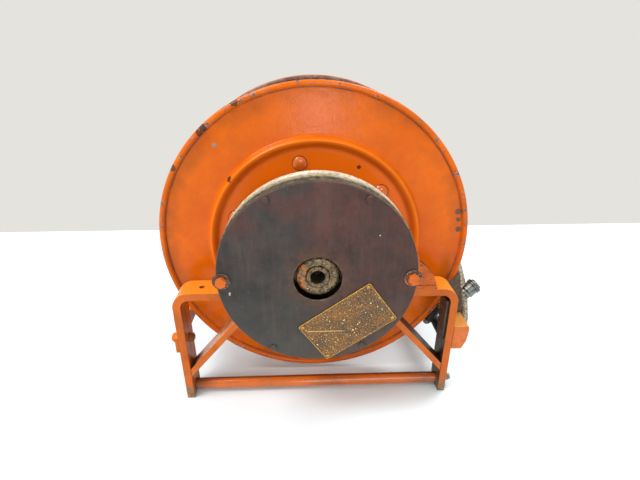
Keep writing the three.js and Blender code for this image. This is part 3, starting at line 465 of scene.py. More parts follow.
# Dark grey enamel soaked with oil and rust: dull, redder to the right, with threads running down it, a
# rusty ring round the hole, light specks of dust and a rim rubbed to a grey line.
cover_paint, tree, shader, place = new_material("oiled_rusty_enamel", **{"Specular IOR Level": 0.3})
centred = add_node(tree, "ShaderNodeVectorMath", {
    "operation": "SUBTRACT", 0: place, 1: at(0, case_front, axis_z)}).outputs[0]
apart = add_node(tree, "ShaderNodeSeparateXYZ", {0: centred})
broad = add_node(tree, "ShaderNodeTexNoise", {
    "Scale": per(75), "Detail": 4.0, "Vector": place}).outputs[0]
side = add_node(tree, "ShaderNodeMath", {
    "operation": "MULTIPLY_ADD", 0: broad, 1: 100 * MM, 2: apart.outputs[0]}).outputs[0]
redness = add_node(tree, "ShaderNodeMapRange", {
    0: side, 1: 0.0, 2: 85 * MM, "interpolation_type": "SMOOTHSTEP"}).outputs[0]
grey = stained(tree, "#3a3533", "#2a2625", speckle(tree, place, 30, 0.35, 0.7, 6))
brown = stained(tree, "#4a2d26", "#35201b", speckle(tree, place, 22, 0.35, 0.7, 6))
colour = stained(tree, grey, brown, redness)
threads = add_node(tree, "ShaderNodeVectorMath", {
    "operation": "MULTIPLY", 0: place, 1: (1, 1, 0.12)}).outputs[0]
colour = stained(tree, colour, "#2b2422", speckle(tree, threads, 2.6, 0.45, 0.62, 4), 0.25)
colour = stained(tree, colour, "#6e4636", speckle(tree, threads, 9, 0.52, 0.72, 5), 0.18)
colour = stained(tree, colour, "#2c2b2b", speckle(tree, place, 34, 0.5, 0.7, 8, 0.72), 0.55)
colour = stained(tree, colour, "#5c3c32", speckle(tree, place, 7, 0.55, 0.7, 6, 0.7), 0.35)
streak = between(tree, apart.outputs[0], 2, 12, 9)
high_up = add_node(tree, "ShaderNodeMapRange", {0: apart.outputs[2], 1: 30 * MM, 2: 90 * MM}).outputs[0]
streak = add_node(tree, "ShaderNodeMath", {"operation": "MULTIPLY", 0: streak, 1: high_up}).outputs[0]
colour = stained(tree, colour, "#7a4434", streak, 0.22)
rusted = add_node(tree, "ShaderNodeMath", {
    "operation": "MULTIPLY", 0: high_up, 1: speckle(tree, place, 40, 0.42, 0.62, 7)}).outputs[0]
colour = stained(tree, colour, "#5a2f27", rusted, 0.5)
away = from_axis(tree, place)
halo = add_node(tree, "ShaderNodeMapRange", {0: away, 1: 56 * MM, 2: 34 * MM}).outputs[0]
halo = add_node(tree, "ShaderNodeMath", {
    "operation": "MULTIPLY", 0: halo, 1: speckle(tree, place, 8, 0.36, 0.6, 6)}).outputs[0]
colour = stained(tree, colour, "#5b3a22", halo, 0.7)
colour = stained(tree, colour, "#231b18", speckle(tree, place, 14, 0.56, 0.7, 7, 0.7), 0.55)
colour = stained(tree, colour, "#a3907a", speckle(tree, place, 2.4, 0.69, 0.76, 3), 0.5)
low = add_node(tree, "ShaderNodeMapRange", {0: apart.outputs[2], 1: -20 * MM, 2: -150 * MM}).outputs[0]
colour = stained(tree, colour, "#5c5a50", low, 0.3)
skirt_mask = add_node(tree, "ShaderNodeMapRange", {
    0: apart.outputs[1], 1: 3 * MM, 2: 4.5 * MM}).outputs[0]
skirt_colour = stained(tree, "#5f5a46", "#2e2a20", speckle(tree, place, 7, 0.35, 0.6, 6))
colour = stained(tree, colour, skirt_colour, skirt_mask)
rubbed = add_node(tree, "ShaderNodeMath", {
    "operation": "MULTIPLY", 0: corner_wear(tree, 1.6),
    1: speckle(tree, place, 16, 0.47, 0.62, 5)}).outputs[0]
colour = stained(tree, colour, "#8f8a80", rubbed, 0.8)
for x, z, size in ((-125, -20, 1.2), (-125.4, -22.6, 1.0), (84, 66, 0.8)):
    gap = add_node(tree, "ShaderNodeVectorMath", {
        "operation": "DISTANCE", 0: place, 1: at(x, case_front, axis_z + z)}).outputs["Value"]
    chip = add_node(tree, "ShaderNodeMapRange", {0: gap, 1: (size + 0.4) * MM, 2: size * MM}).outputs[0]
    colour = stained(tree, colour, "#cfc8ba", chip, 0.9)
grain = add_node(tree, "ShaderNodeTexNoise", {
    "Scale": per(4.5), "Detail": 6.0, "Roughness": 0.6, "Vector": threads}).outputs[0]
surfaced(tree, shader, colour, speckle(tree, place, 18, 0.3, 0.7, 6), 0.42, 0.68, grain, 0.3, 0.4)

hole = 34.5
profile = [(hole, case_front + 0.6), (hole + 0.6, case_front), (case_radius * 0.3, case_front)]
profile += [(case_radius * share, case_front) for share in (0.5, 0.75)] + [(case_radius - 3.2, case_front)]
profile += rounded(case_radius - 3.2, case_front + 3.2, 3.2, 6, -90, 0)
profile += [(case_radius, case_front + skirt - 0.5), (case_radius - 0.5, case_front + skirt)]
profile += [(case_radius - sheet, case_front + skirt)]
profile += rounded(case_radius - 3.2, case_front + 3.2, 1.2, 4, 0, -90)
profile += [(hole, case_front + sheet)]
work = turned(profile, at(0, 0, axis_z), steps=192)
for vertex in work.verts:
    reach = math.hypot(vertex.co.x - reel_x, vertex.co.z - axis_z * MM) / MM
    if reach > hole + 5:
        ripple = noise.noise(vertex.co * 22) * 0.35 + noise.noise(vertex.co * 60) * 0.12
        vertex.co.y += (ripple + 0.3) * MM * min(1.0, (reach - hole - 5) / 30)
make_piece("spring_cover_pressing", work, cover_paint, "frame", ("spring_cover",))

# ---- Power spring ------------------------------------------------------------------------------------
# Flat spiral of blued, hardened spring steel, oiled. It hooks to the arbor and to the case, and only its
# edges can be seen, through the hole in the cover.

# Blued steel: a dark blue mirror that has gone brown in patches.
blued = weathered(
    "blued_spring_steel", "#2e3846", (("#4a4438", 1.0, 20, 0.35, 0.65),),
    (3, 3.0), ((10, 0.3, 0.7), 0.2, 0.45), (0.1, 0.2), Metallic=1.0)
eased("power_spring", blued, 0.3, 1, 40)

# ---- Case bolts and cover screws ---------------------------------------------------------------------
# Two long 9/16 inch hexagon bolts through cover, case and lugs, on rusty washers, painted over in orange.
# Four smaller screws only clamp the pans; they are as brown as the cover.

bolt_circle = 135.0

# Rusted plain washers: dark brown crust with pale specks painted as glints, and orange enamel left round
# the outside.
rusty, tree, shader, place = new_material("rusty_steel")
colour = stained(tree, "#4b3325", "#6e4426", speckle(tree, place, 5, 0.35, 0.65, 6))
colour = stained(tree, colour, "#211a15", speckle(tree, place, 2.5, 0.48, 0.62, 4))
# Pale specks: painted glints.
colour = stained(tree, colour, "#c8bfa8", speckle(tree, place, 2.2, 0.64, 0.68, 2), 0.8)
spot = add_node(tree, "ShaderNodeVectorMath", {
    "operation": "SUBTRACT", 0: place, 1: at(0, 0, axis_z)}).outputs[0]
spot = add_node(tree, "ShaderNodeVectorMath", {"operation": "ABSOLUTE", 0: spot}).outputs[0]
middle = add_node(tree, "ShaderNodeVectorMath", {
    "operation": "SUBTRACT", 0: spot, 1: (bolt_circle * MM, 0, 0)}).outputs[0]
flat = add_node(tree, "ShaderNodeVectorMath", {
    "operation": "MULTIPLY", 0: middle, 1: (1, 0, 1)}).outputs[0]
reach = add_node(tree, "ShaderNodeVectorMath", {"operation": "LENGTH", 0: flat}).outputs["Value"]
outer = add_node(tree, "ShaderNodeMapRange", {0: reach, 1: 10.8 * MM, 2: 11.8 * MM}).outputs[0]
outer = add_node(tree, "ShaderNodeMath", {
    "operation": "MULTIPLY", 0: outer, 1: speckle(tree, place, 9, 0.40, 0.52, 5)}).outputs[0]
right_side = add_node(tree, "ShaderNodeSeparateXYZ", {0: place}).outputs[0]
right_side = add_node(tree, "ShaderNodeMapRange", {0: right_side, 1: 0.0, 2: 10 * MM}).outputs[0]
low_side = add_node(tree, "ShaderNodeSeparateXYZ", {0: place}).outputs[2]
low_side = add_node(tree, "ShaderNodeMapRange", {
    0: low_side, 1: (axis_z + 4) * MM, 2: (axis_z - 6) * MM}).outputs[0]
right_side = add_node(tree, "ShaderNodeMath", {
    "operation": "MULTIPLY", 0: right_side, 1: low_side}).outputs[0]
outer = add_node(tree, "ShaderNodeMath", {"operation": "MULTIPLY", 0: outer, 1: right_side}).outputs[0]
colour = stained(tree, colour, "#c8601e", outer, 0.9)
grain = add_node(tree, "ShaderNodeTexNoise", {
    "Scale": per(1.5), "Detail": 5.0, "Vector": place}).outputs[0]
surfaced(tree, shader, colour, speckle(tree, place, 4, 0.3, 0.7), 0.45, 0.85, grain, 0.6, 0.4)


def hexagon(work, across, length, place, along, turn=0.0):
    """Adds a hexagon head or nut with its corners chamfered at 30 degrees, standing on place."""
    flat, crown, steps = across / 2, across / 2 * 0.96, 48
    lean = Vector((0, 1, 0)).rotation_difference(Vector(along)).to_matrix().to_4x4()
    seat = Matrix.Translation(place) @ lean @ Matrix.Rotation(turn, 4, "Y")
    rings = [[], [], []]
    for i in range(steps):
        angle = math.tau * i / steps
        reach = flat / math.cos((angle + math.pi / 6) % (math.pi / 3) - math.pi / 6)
        drop = (reach - crown) * math.tan(math.radians(30))
        outline = ((reach, 0.0), (reach, length - drop), (crown, length))
        for ring, (radius, height) in zip(rings, outline):
            ring.append(work.verts.new(seat @ Vector((
                radius * MM * math.cos(angle), height * MM, radius * MM * math.sin(angle)))))
    for lower, upper in zip(rings, rings[1:]):
        for i in range(steps):
            j = (i + 1) % steps
            work.faces.new([lower[i], lower[j], upper[j], upper[i]])
    work.faces.new(rings[0])
    work.faces.new(rings[2])


for name, x in (("case_bolt_right", bolt_circle), ("case_bolt_left", -bolt_circle)):
    face = case_front - 0.3
    shank = [(0, face - 2), (4, face - 2), (4, 20.3), (0, 20.3)]
    work = turned(shank, at(x, 0, axis_z), steps=32, closed=False)
    hexagon(work, 14.3, 6.0, at(x, face - 2, axis_z), (0, -1, 0), 0.35)
    hexagon(work, 14.3, 8.0, at(x, 10.3, axis_z), (0, 1, 0), 0.1)
    make_piece(f"{name}_hexagon", work, orange_hardware, "frame", (name,), 0.25, 1)
    washer = turned([(4.3, -0.3), (12.2, -0.3), (13, -1.0), (12.4, -2.0), (4.3, -2.0)],
                    at(x, case_front, axis_z), steps=64)
    make_piece(f"{name}_washer", washer, rusty, "frame", (), 0.2, 1)

for i, degrees in enumerate((60, 120, 240, 300)):
    x = bolt_circle * math.cos(math.radians(degrees))
    z = axis_z + bolt_circle * math.sin(math.radians(degrees))
    face = case_front - 0.3
    dome = [(0, face - 3.0), (2.5, face - 2.9), (4.6, face - 2.2), (5.5, face - 0.9), (5.5, face),
            (3.2, face), (3.2, 8), (0, 8)]
    work = turned(dome, at(x, 0, z), steps=40, closed=False)
    hexagon(work, 11.0, 5.0, at(x, 0.0, z), (0, 1, 0), 0.2 * i)
    make_piece(f"cover_screw_{i + 1}_domed", work, cover_paint, "frame",
               (f"cover_screw_{i + 1}",), 0.2, 1)

# ---- Plate -------------------------------------------------------------------------------------------
# Thin etched brass sheet, 5 by 3 inches, held by four drive pins. It is bare of any lettering. The
# lacquer has gone and the brass is stained brown, brighter where it was rubbed.

# Bare brass: fine gold grain over a brown stain, and a bright line where its edges were sheared.
brass, tree, shader, place = new_material("stained_brass", Metallic=0.35)
colour = stained(tree, "#7c5228", "#604126", speckle(tree, place, 26, 0.38, 0.62, 6))
colour = stained(tree, colour, "#43403a", speckle(tree, place, 20, 0.50, 0.66, 8, 0.68), 0.85)
colour = stained(tree, colour, "#2e2219", speckle(tree, place, 3.5, 0.50, 0.62, 5), 0.6)
colour = stained(tree, colour, "#dba23a", speckle(tree, place, 2.0, 0.58, 0.65, 4), 0.9)
spot = add_node(tree, "ShaderNodeSeparateXYZ", {0: place})
long = between(tree, spot.outputs[0], reel_x / MM - 14, reel_x / MM + 34, 4)
thin = between(tree, spot.outputs[2], axis_z - 88.4, axis_z - 87.8, 0.4)
scratch = add_node(tree, "ShaderNodeMath", {"operation": "MULTIPLY", 0: long, 1: thin}).outputs[0]
colour = stained(tree, colour, "#f0c860", scratch, 0.8)
colour = stained(tree, colour, "#fff0a8", speckle(tree, place, 2.6, 0.69, 0.71, 2))
colour = stained(tree, colour, "#eab638", corner_wear(tree, 2.4))
grain = add_node(tree, "ShaderNodeTexNoise", {
    "Scale": per(2.2), "Detail": 5.0, "Vector": place}).outputs[0]
surfaced(tree, shader, colour, speckle(tree, place, 8, 0.3, 0.7, 5), 0.34, 0.62, grain, 0.35, 0.3)

eased("nameplate", brass, 0.25, 1)
plate_x, plate_z, tilt = 43.7, axis_z - 74.2, math.radians(35.4)
for i, (u, v) in enumerate(((-58.5, -32.5), (58.5, -32.5), (58.5, 32.5), (-58.5, 32.5))):
    x = plate_x + u * math.cos(tilt) - v * math.sin(tilt)
    z = plate_z + u * math.sin(tilt) + v * math.cos(tilt)
    seat = case_front - 1.3
    pin_head = [(0, seat - 1.1), (1.3, seat - 0.9), (2.2, seat - 0.1), (2.2, seat + 0.1), (0, seat + 0.1)]
    pin = turned(pin_head, at(x, 0, z), steps=20, closed=False)
    make_piece(f"plate_pin_{i + 1}", pin, brass, "frame")

# ---- Shaft and spring arbor --------------------------------------------------------------------------
# One-inch pipe, turned, and a cast arbor keyed on it that the spring hooks to. Both are thick with old
# brown grease, and the pipe's bore is painted black as shade.

# Greasy casting: brown-gold film with rings left by turning, flecks of orange enamel and wet glints.
greasy, tree, shader, place = new_material("greasy_cast_steel", Metallic=0.3)
away = from_axis(tree, place)
ring_turning = 2600.0               # radians per metre from the axis: a ring every 2.4 mm
rings = add_node(tree, "ShaderNodeMath", {
    "operation": "MULTIPLY", 0: away, 1: ring_turning}).outputs[0]
rings = add_node(tree, "ShaderNodeMath", {"operation": "SINE", 0: rings}).outputs[0]
colour = stained(tree, "#7f653f", "#443525", speckle(tree, place, 7, 0.38, 0.62, 6))
colour = stained(tree, colour, "#94805a", rings, 0.3)
colour = stained(tree, colour, "#1e1812", speckle(tree, place, 3.5, 0.50, 0.62, 5), 0.85)
colour = stained(tree, colour, "#d8d2bc", speckle(tree, place, 2.4, 0.66, 0.69, 3), 0.8)
leftward = add_node(tree, "ShaderNodeSeparateXYZ", {0: place}).outputs[0]
leftward = add_node(tree, "ShaderNodeMapRange", {
    0: leftward, 1: reel_x - 12 * MM, 2: reel_x - 22 * MM}).outputs[0]
leftward = add_node(tree, "ShaderNodeMath", {
    "operation": "MULTIPLY", 0: leftward, 1: speckle(tree, place, 5, 0.52, 0.56, 4)}).outputs[0]
colour = stained(tree, colour, "#c8641e", leftward, 0.9)
# The bore is painted near black: painted shade inside the hole.
bore_painted_shade = add_node(tree, "ShaderNodeMapRange", {0: away, 1: 11.5 * MM, 2: 10 * MM}).outputs[0]
colour = stained(tree, colour, "#0b0a0a", bore_painted_shade, 0.95)
grain = add_node(tree, "ShaderNodeTexNoise", {"Scale": per(4), "Detail": 6.0, "Vector": place}).outputs[0]
surfaced(tree, shader, colour, speckle(tree, place, 5, 0.3, 0.7, 5), 0.2, 0.6, grain, 0.8, 0.8)

shaft_radius, shaft_bore, shaft_front, shaft_rear = 16.7, 10.4, -44.0, frame_depth + 32.6
profile = [(0, shaft_front + 30), (shaft_bore, shaft_front + 30), (shaft_bore, shaft_front + 1),
           (shaft_bore + 1, shaft_front), (shaft_radius - 1.2, shaft_front),
           (shaft_radius, shaft_front + 1.2), (shaft_radius, shaft_rear),
           (shaft_bore, shaft_rear), (shaft_bore, 138), (0, 138)]
make_piece("shaft_pipe", turned(profile, at(0, 0, axis_z), steps=72, closed=False), greasy, "drum",
           ("shaft",))

profile = [(17, -40.6), (17.8, -42), (20, -42.8), (22, -42.4), (24, -42.9), (26.5, -42.4), (29.4, -41.2),
           (30.6, -39.4), (30.4, -37), (29.5, -35), (29.5, -2.8), (17, -2.8)]
work = turned(profile, at(0, 0, axis_z), steps=96)
for vertex in work.verts:
    if vertex.co.y < front_y - 30 * MM:
        lump = noise.noise(vertex.co * 160) * 0.7 + noise.noise(vertex.co * 420) * 0.25
        vertex.co.y += (max(lump, -0.4) + 0.4) * MM
make_piece("spring_arbor_greasy", work, greasy, "drum", ("spring_arbor",))

# ---- Hubs, drum shell and flanges --------------------------------------------------------------------
# The flanges are pressed from 2 mm sheet with an embossed ring, their rims curled round a wire. Six domed
# rivets hold each to the rolled drum. The orange enamel is dirty and chipped along the rims.

# The pressings have the brightest enamel: painted shade on the ring's inner side, a painted highlight on
# its crest, a broken dirty line beside the curled rim, painted shade and grime by the bead, and a few
# chips through to grey steel.
flange_orange, tree, shader, place, colour = enamel(
    "orange_enamel_on_pressing", "#de6804", "#cc5903", 0.08, 0.22, 0.20, 1.2)
orange_peel = shader.inputs["Normal"].links[0].from_node
orange_peel.inputs["Strength"].default_value = 0.8
away = from_axis(tree, place)
inside = add_node(tree, "ShaderNodeMapRange", {0: away, 1: 162 * MM, 2: 156 * MM}).outputs[0]
colour = stained(tree, colour, "#e0660a", inside, 0.75)
# Painted shade on the ring's inner side.
colour = stained(tree, colour, "#933a08", between(tree, away, 159, 164, 4), 0.42)
# Painted highlight on the ring's crest.
colour = stained(tree, colour, "#ec7c1c", between(tree, away, 169, 173, 3), 0.5)
dirt = add_node(tree, "ShaderNodeMath", {
    "operation": "MULTIPLY", 0: between(tree, away, 245.2, 246.4, 0.7),
    1: speckle(tree, place, 26, 0.42, 0.54, 6, 0.7)})
colour = stained(tree, colour, "#5f5348", dirt.outputs[0], 0.75)
rim = add_node(tree, "ShaderNodeMapRange", {0: away, 1: 248 * MM, 2: 250 * MM}).outputs[0]
rim = add_node(tree, "ShaderNodeMath", {
    "operation": "MULTIPLY", 0: rim, 1: speckle(tree, place, 12, 0.565, 0.60, 6, 0.62)}).outputs[0]
bare_steel = stained(tree, "#54504b", "#8f8c86", speckle(tree, place, 4, 0.45, 0.6))
colour = stained(tree, colour, bare_steel, rim)
ragged = add_node(tree, "ShaderNodeTexNoise", {
    "Scale": per(3), "Detail": 3.0, "Vector": place}).outputs[0]
for over, chips in (
        ("#7b8a84", ((-152, 164, 1.5),)),
        ("#5a2c12", ((-133, 112, 1.3), (-132, 109.6, 1.1))),
        ("#4a2f22", ((-117, 226, 3.0), (-165, 190, 2.6), (-171, 183, 1.8), (-217, 131, 2.0))),
        ("#4c463f", ((236, 52, 2.8), (238, 38, 2.2), (240, 20, 2.6))),
        ("#3a2416", ((110, 92, 0.6), (68, 128, 0.9)))):
    for x, z, size in chips:
        gap = add_node(tree, "ShaderNodeVectorMath", {
            "operation": "DISTANCE", 0: place, 1: at(x, 72, axis_z + z)}).outputs["Value"]
        gap = add_node(tree, "ShaderNodeMath", {
            "operation": "MULTIPLY_ADD", 0: ragged, 1: size * 1.6 * MM, 2: gap}).outputs[0]
        chip = add_node(tree, "ShaderNodeMapRange", {
            0: gap, 1: (size * 1.9 + 3.6) * MM, 2: (size * 1.8 + 3.2) * MM}).outputs[0]
        colour = stained(tree, colour, over, chip, 0.92)
# Darker brown band inside the bead: painted shade as well as grime.
shade_and_grime_by_bead = add_node(tree, "ShaderNodeMath", {
    "operation": "MULTIPLY", 0: between(tree, away, 233, 250, 14),
    1: speckle(tree, place, 60, 0.42, 0.6, 4)})
colour = stained(tree, colour, "#8a4a1c", shade_and_grime_by_bead.outputs[0], 0.4)
tree.links.new(colour, shader.inputs["Base Color"])

flange_radius, bead, web, centre_face, flange_sheet = 256.0, 4.75, 76.0, 75.0, 2.0
ring_inner, ring_crest, ring_outer, ring_height = 160.0, 171.0, 178.5, 8.5


def smooth_step(low, high, value):
    """Rises smoothly from 0 at low to 1 at high."""
    share = min(1.0, max(0.0, (value - low) / (high - low)))
    return share * share * (3 - 2 * share)


def flange_face(radius):
    """Depth in mm of the pressing's front skin at a radius."""
    if radius < ring_crest:
        rise = smooth_step(ring_inner - 1, ring_crest, radius)
        return centre_face + (web - ring_height - centre_face) * rise
    return web - ring_height * (1 - smooth_step(ring_crest, ring_outer, radius))


def flange_profile():
    """The pressing's outline of [radius, depth]: front skin, curled rim, back skin."""
    radii = [27.3, 40, 70, 105, 130, 145, 154]
    radii += [ring_inner - 3 + i * 0.8 for i in range(28)]
    radii += [183, 190, 200, 215, 230, 240, 244, flange_radius - 2 * bead - 0.6]
    front = [(r, flange_face(r)) for r in radii]
    back = [(r, flange_face(r) + flange_sheet) for r in reversed(radii)]
    curl = rounded(flange_radius - bead, 74, bead, 14, -150, 140)
    return front + curl + back


def dented(work, seed, depth):
    """Shallow dents in a pressing, none at the hub."""
    for vertex in work.verts:
        reach = math.hypot(vertex.co.x - reel_x, vertex.co.z - axis_z * MM) / MM
        if 45 < reach < 250:
            spot = Vector((vertex.co.x * 9 + seed, vertex.co.z * 9, seed))
            fade = min(1.0, (reach - 45) / 20, (250 - reach) / 20)
            vertex.co.y += noise.noise(spot) * depth * MM * fade
    return work


# The hose has rubbed the rear flange's inner side and bead down to dark steel with pale scratches.
flange_rubbed, tree, shader, place, colour = enamel(
    "rubbed_enamel_on_pressing", "#d96504", "#c75603", 0.3, 0.4, 0.3, 1.2)
rubbed = facing(tree, (0, -1, 0), 0.0, 0.35)
outermost = add_node(tree, "ShaderNodeMapRange", {
    0: from_axis(tree, place), 1: 255.6 * MM, 2: 255 * MM}).outputs[0]
rubbed = add_node(tree, "ShaderNodeMath", {"operation": "MULTIPLY", 0: rubbed, 1: outermost}).outputs[0]
bare = stained(tree, "#4b4a48", "#6d6a63", speckle(tree, place, 12, 0.4, 0.6, 6))
bare = stained(tree, bare, "#d9c48a", speckle(tree, place, 3.5, 0.64, 0.68, 3), 0.8)
colour = stained(tree, colour, bare, rubbed, 0.92)
tree.links.new(colour, shader.inputs["Base Color"])

front_flange = dented(turned(flange_profile(), at(0, 0, axis_z), steps=256), 3.1, 0.7)
make_piece("front_flange_pressing", front_flange, flange_orange, "drum", ("front_flange",))
mirrored_profile = [(r, frame_depth - y) for r, y in flange_profile()]
rear_flange = dented(turned(mirrored_profile, at(0, 0, axis_z), steps=256), 8.7, 0.7)
make_piece("rear_flange_pressing", rear_flange, flange_rubbed, "drum", ("rear_flange",))

# A rivet's dome keeps its shine, with a dark line of painted shade where it meets the sheet.
rivet_orange, tree, shader, place, colour = enamel(
    "orange_enamel_on_rivet", "#dd6a12", "#c0560e", 0.3, 0.4, 0.16, 0.6)
shader.inputs["Specular IOR Level"].default_value = 0.6
depth = add_node(tree, "ShaderNodeSeparateXYZ", {0: place}).outputs[1]
# Painted shade round the dome's foot.
foot = add_node(tree, "ShaderNodeMapRange", {
    0: depth, 1: front_y + 72.6 * MM, 2: front_y + 73.6 * MM}).outputs[0]
colour = stained(tree, colour, "#3a2416", foot, 0.85)
tree.links.new(colour, shader.inputs["Base Color"])

rivet_dome = [(0, 68.7), (3.5, 68.95), (6.8, 69.9), (9.6, 71.6), (11.4, 73.7), (12, 74.7), (12, 74.9)]
rivet_tail = [(5, 74.9), (5, 81.6), (8, 81.6), (8, 82.6), (7, 83.6), (0, 83.6)]
front_rivet = rivet_dome + rivet_tail
rear_rivet = [(radius, frame_depth - y) for radius, y in front_rivet]
rivet_circle, rivet_count = 137.5, 6
for i in range(rivet_count):
    angle = math.radians(40 + 360 / rivet_count * i)
    seat = at(rivet_circle * math.cos(angle), 0, axis_z + rivet_circle * math.sin(angle))
    work = turned(front_rivet, seat, steps=48, closed=False)
    make_piece(f"flange_rivet_{i + 1}_domed", work, rivet_orange, "drum",
               (f"flange_rivet_{i + 1}",))
    work = turned(rear_rivet, seat, steps=48, closed=False)
    make_piece(f"rear_flange_rivet_{i + 1}", work, orange_hardware, "drum")

for node in ("front_hub", "rear_hub"):
    eased(node, orange_hardware, 0.9)
eased("drum_shell", flange_orange, 0.6, 1)

# ---- Riser and hose nipple ---------------------------------------------------------------------------
# Bent steel pipe that brings the water from the hollow shaft through the drum, and a zinc-plated barbed
# nipple that the hose is clamped on.

# Worn steel of pipe and pins: a grey metal with brown oil in the hollows of its grain.
worn_steel = weathered(
    "worn_turned_steel", "#8d8880",
    (("#5d554c", 1.0, 10, 0.35, 0.65, 5), ("#3a2e24", 1.0, 4, 0.52, 0.66, 6)),
    (1.5, 4.0), ((6, 0.3, 0.7, 5), 0.28, 0.6), (0.25, 0.2), Metallic=1.0)

# Dull zinc: pale grey metal with darker clouds and a few brown spots, half way between shine and chalk.
zinc = weathered(
    "dull_zinc_plate", "#8b8c89",
    (("#626360", 1.0, 9, 0.35, 0.65, 5), ("#57544c", 1.0, 3, 0.54, 0.68, 5)),
    (1.2, 4.0), ((5, 0.3, 0.7, 5), 0.22, 0.5), (0.2, 0.2), Metallic=1.0)

eased("outlet_riser", worn_steel, 0.4, 1)
eased("hose_nipple", zinc, 0.4, 1)

# ---- Inlet block, tube and coupling ------------------------------------------------------------------
# A steel block on the leg holds the tube's foot. The tube is bare steel gone olive with grease and dust,
# and an ear welded behind the leg steadies it. The coupling's boss is brazed on; its collar turns freely.

# Greasy tube: a dusty olive skin pitted all over with darker dots, so it looks knurled, and dull.
olive, tree, shader, place = new_material("dusty_oiled_steel", Metallic=0.25)
pits = add_node(tree, "ShaderNodeTexVoronoi", {"Scale": per(3.6), "Vector": place}).outputs["Distance"]
pit = add_node(tree, "ShaderNodeMapRange", {0: pits, 1: 0.25, 2: 0.62}).outputs[0]
colour = stained(tree, "#d6cbb2", "#aca188", speckle(tree, place, 12, 0.35, 0.65, 6))
colour = stained(tree, colour, "#4b4638", pit, 0.7)
colour = stained(tree, colour, "#5c5442", speckle(tree, place, 9, 0.56, 0.68, 5), 0.5)
surfaced(tree, shader, colour, speckle(tree, place, 6, 0.3, 0.7, 5), 0.45, 0.8, pits, 0.7, 0.6)

# The block's enamel is rough and lumpy, with lighter ochre on top as painted light and brown on its
# down-facing side as painted shade.
orange_block, tree, shader, place, colour = enamel(
    "lumpy_enamel_on_block", "#d4733a", "#c06027", 0.7, 0.6, 0.4)
colour = stained(tree, colour, "#6e3617", speckle(tree, place, 3.6, 0.60, 0.65, 3), 0.75)
# Upward faces painted ochre: painted light.
colour = stained(tree, colour, "#c98b3e", facing(tree, (0, 0, 1), 0.5, 0.8), 0.85)
# Down-facing chamfer painted brown: painted shade.
under = facing(tree, (0.7, 0, -0.7), 0.75, 0.9)
colour = stained(tree, colour, "#7b4724", under, 0.8)
tree.links.new(colour, shader.inputs["Base Color"])

eased("inlet_block", orange_block, 1.2, 3)
eased("inlet_tube", olive, 0.3, 1, 50)
eased("inlet_coupling", zinc, 0.5, 2, 35)
eased("coupling_collar", zinc, 0.4, 2, 35)

work = bmesh.new()
ear = ((217, 131), (217, 196), (231, 203), (237, 214), (240, 217), (242, 212), (253, 162), (255, 131))
faces = [work.faces.new([work.verts.new(at(x, y, z)) for x, z in ear]) for y in (42.8, 47.6)]
front, back = [list(face.verts) for face in faces]
for i in range(len(ear)):
    j = (i + 1) % len(ear)
    work.faces.new([front[i], front[j], back[j], back[i]])
make_piece("tube_ear", work, oily, "frame", (), 0.6)

# ---- Swivel ------------------------------------------------------------------------------------------
# Cast bronze body with a gland nut, behind the rear bearing plate. It stays still while the shaft turns
# in it, and is as dull with grease as the bushes.

eased("swivel_body", bronze, 0.8, 2, 35)
eased("gland_nut", bronze, 0.8)

# ---- Hose guide --------------------------------------------------------------------------------------
# Two welded end plates and a carrier bar hold three black nylon rollers on steel pins. The hose runs
# between the upright rollers, over the cross roller and under the bar.

# The carrier bar's steel is under moss-coloured grease: olive with dark flecks, and dull.
mossy = weathered(
    "greasy_guide_bar", "#8d8a52",
    (("#5c5a3c", 1.0, 9, 0.35, 0.65, 6), ("#33301f", 0.8, 4, 0.5, 0.62, 5)),
    (2.5, 6.0), ((6, 0.3, 0.7, 5), 0.4, 0.75), (0.5, 0.4), Metallic=0.2)

# Black nylon: near black with a soft shine, and dust rubbed into it.
nylon = weathered(
    "black_nylon", "#18181a",
    (("#2a2a2c", 1.0, 12, 0.35, 0.65, 5), ("#4a443a", 0.7, 4, 0.58, 0.7, 5)),
    (2, 5.0), ((6, 0.3, 0.7, 5), 0.35, 0.65), (0.3, 0.2))

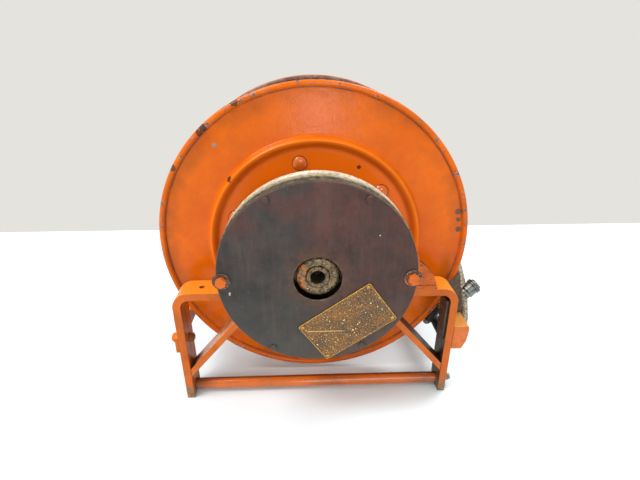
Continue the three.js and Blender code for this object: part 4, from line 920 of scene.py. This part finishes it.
for node in ("guide_front_plate", "guide_rear_plate"):
    eased(node, oily, 0.8)
eased("guide_carrier", mossy, 0.6)
for node in ("guide_front_roller", "guide_rear_roller", "guide_cross_roller"):
    eased(node, nylon, 0.5, 2, 35)
for node in ("guide_front_washer", "guide_rear_washer"):
    eased(node, zinc, 0.3, 1)
for node in ("guide_front_pin", "guide_rear_pin", "guide_cross_pin"):
    eased(node, worn_steel, 0.3, 1)

# ---- Floor, light and camera -------------------------------------------------------------------------
# A plain white table top under even light from overhead tubes, seen from the front and a little above.
# The low flash gives shine only, where the front flange mirrors it.

table = new_material("white_table", **{"Base Color": "#e6f1f6", "Roughness": 0.55})[0]
work = bmesh.new()
work.faces.new([work.verts.new(Vector((x, y, 0))) for x, y in ((-3, -3), (3, -3), (3, 0.62), (-3, 0.62))])
mesh = bpy.data.meshes.new("table_top")
work.to_mesh(mesh)
work.free()
mesh.materials.append(table)
floor = bpy.data.objects.new("table_top", mesh)
bpy.context.scene.collection.objects.link(floor)

world = bpy.data.worlds.new("even_light")
bpy.context.scene.world = world
world.use_nodes = True
background = world.node_tree.nodes["Background"]
background.inputs[0].default_value = linear("#f2f0ea")
background.inputs[1].default_value = 0.88

for name, place, aim, size, power in (
        ("ceiling_left", (-1.3, -0.6, 2.4), (0, 0, 0.2), 1.2, 52.0),
        ("ceiling_right", (1.2, 0.7, 2.5), (0, 0, 0.2), 1.2, 48.0),
        ("front_window", (0.5, -2.6, 1.3), (0, 0, 0.3), 1.0, 16.0),
        ("low_flash", (0.04, -1.6, 0.28), (0, -0.07, 0.47), 0.14, 1.7)):
    lamp = bpy.data.lights.new(name, "AREA")
    lamp.size = size
    lamp.energy = power
    holder = bpy.data.objects.new(name, lamp)
    holder.location = place
    holder.visible_diffuse = name != "low_flash"
    holder.rotation_euler = (Vector(aim) - Vector(place)).to_track_quat("-Z", "Y").to_euler()
    bpy.context.scene.collection.objects.link(holder)

lens = bpy.data.cameras.new("camera")
lens.sensor_width = 36.0
lens.lens = 22.94
camera = bpy.data.objects.new("camera", lens)
camera.location = at(-16.0, -547.6, 550.0)
camera.rotation_euler = Vector((0.0344, 0.9099, -0.4134)).to_track_quat("-Z", "Y").to_euler()
bpy.context.scene.collection.objects.link(camera)
bpy.context.scene.camera = camera
bpy.context.scene.view_settings.view_transform = "Standard"
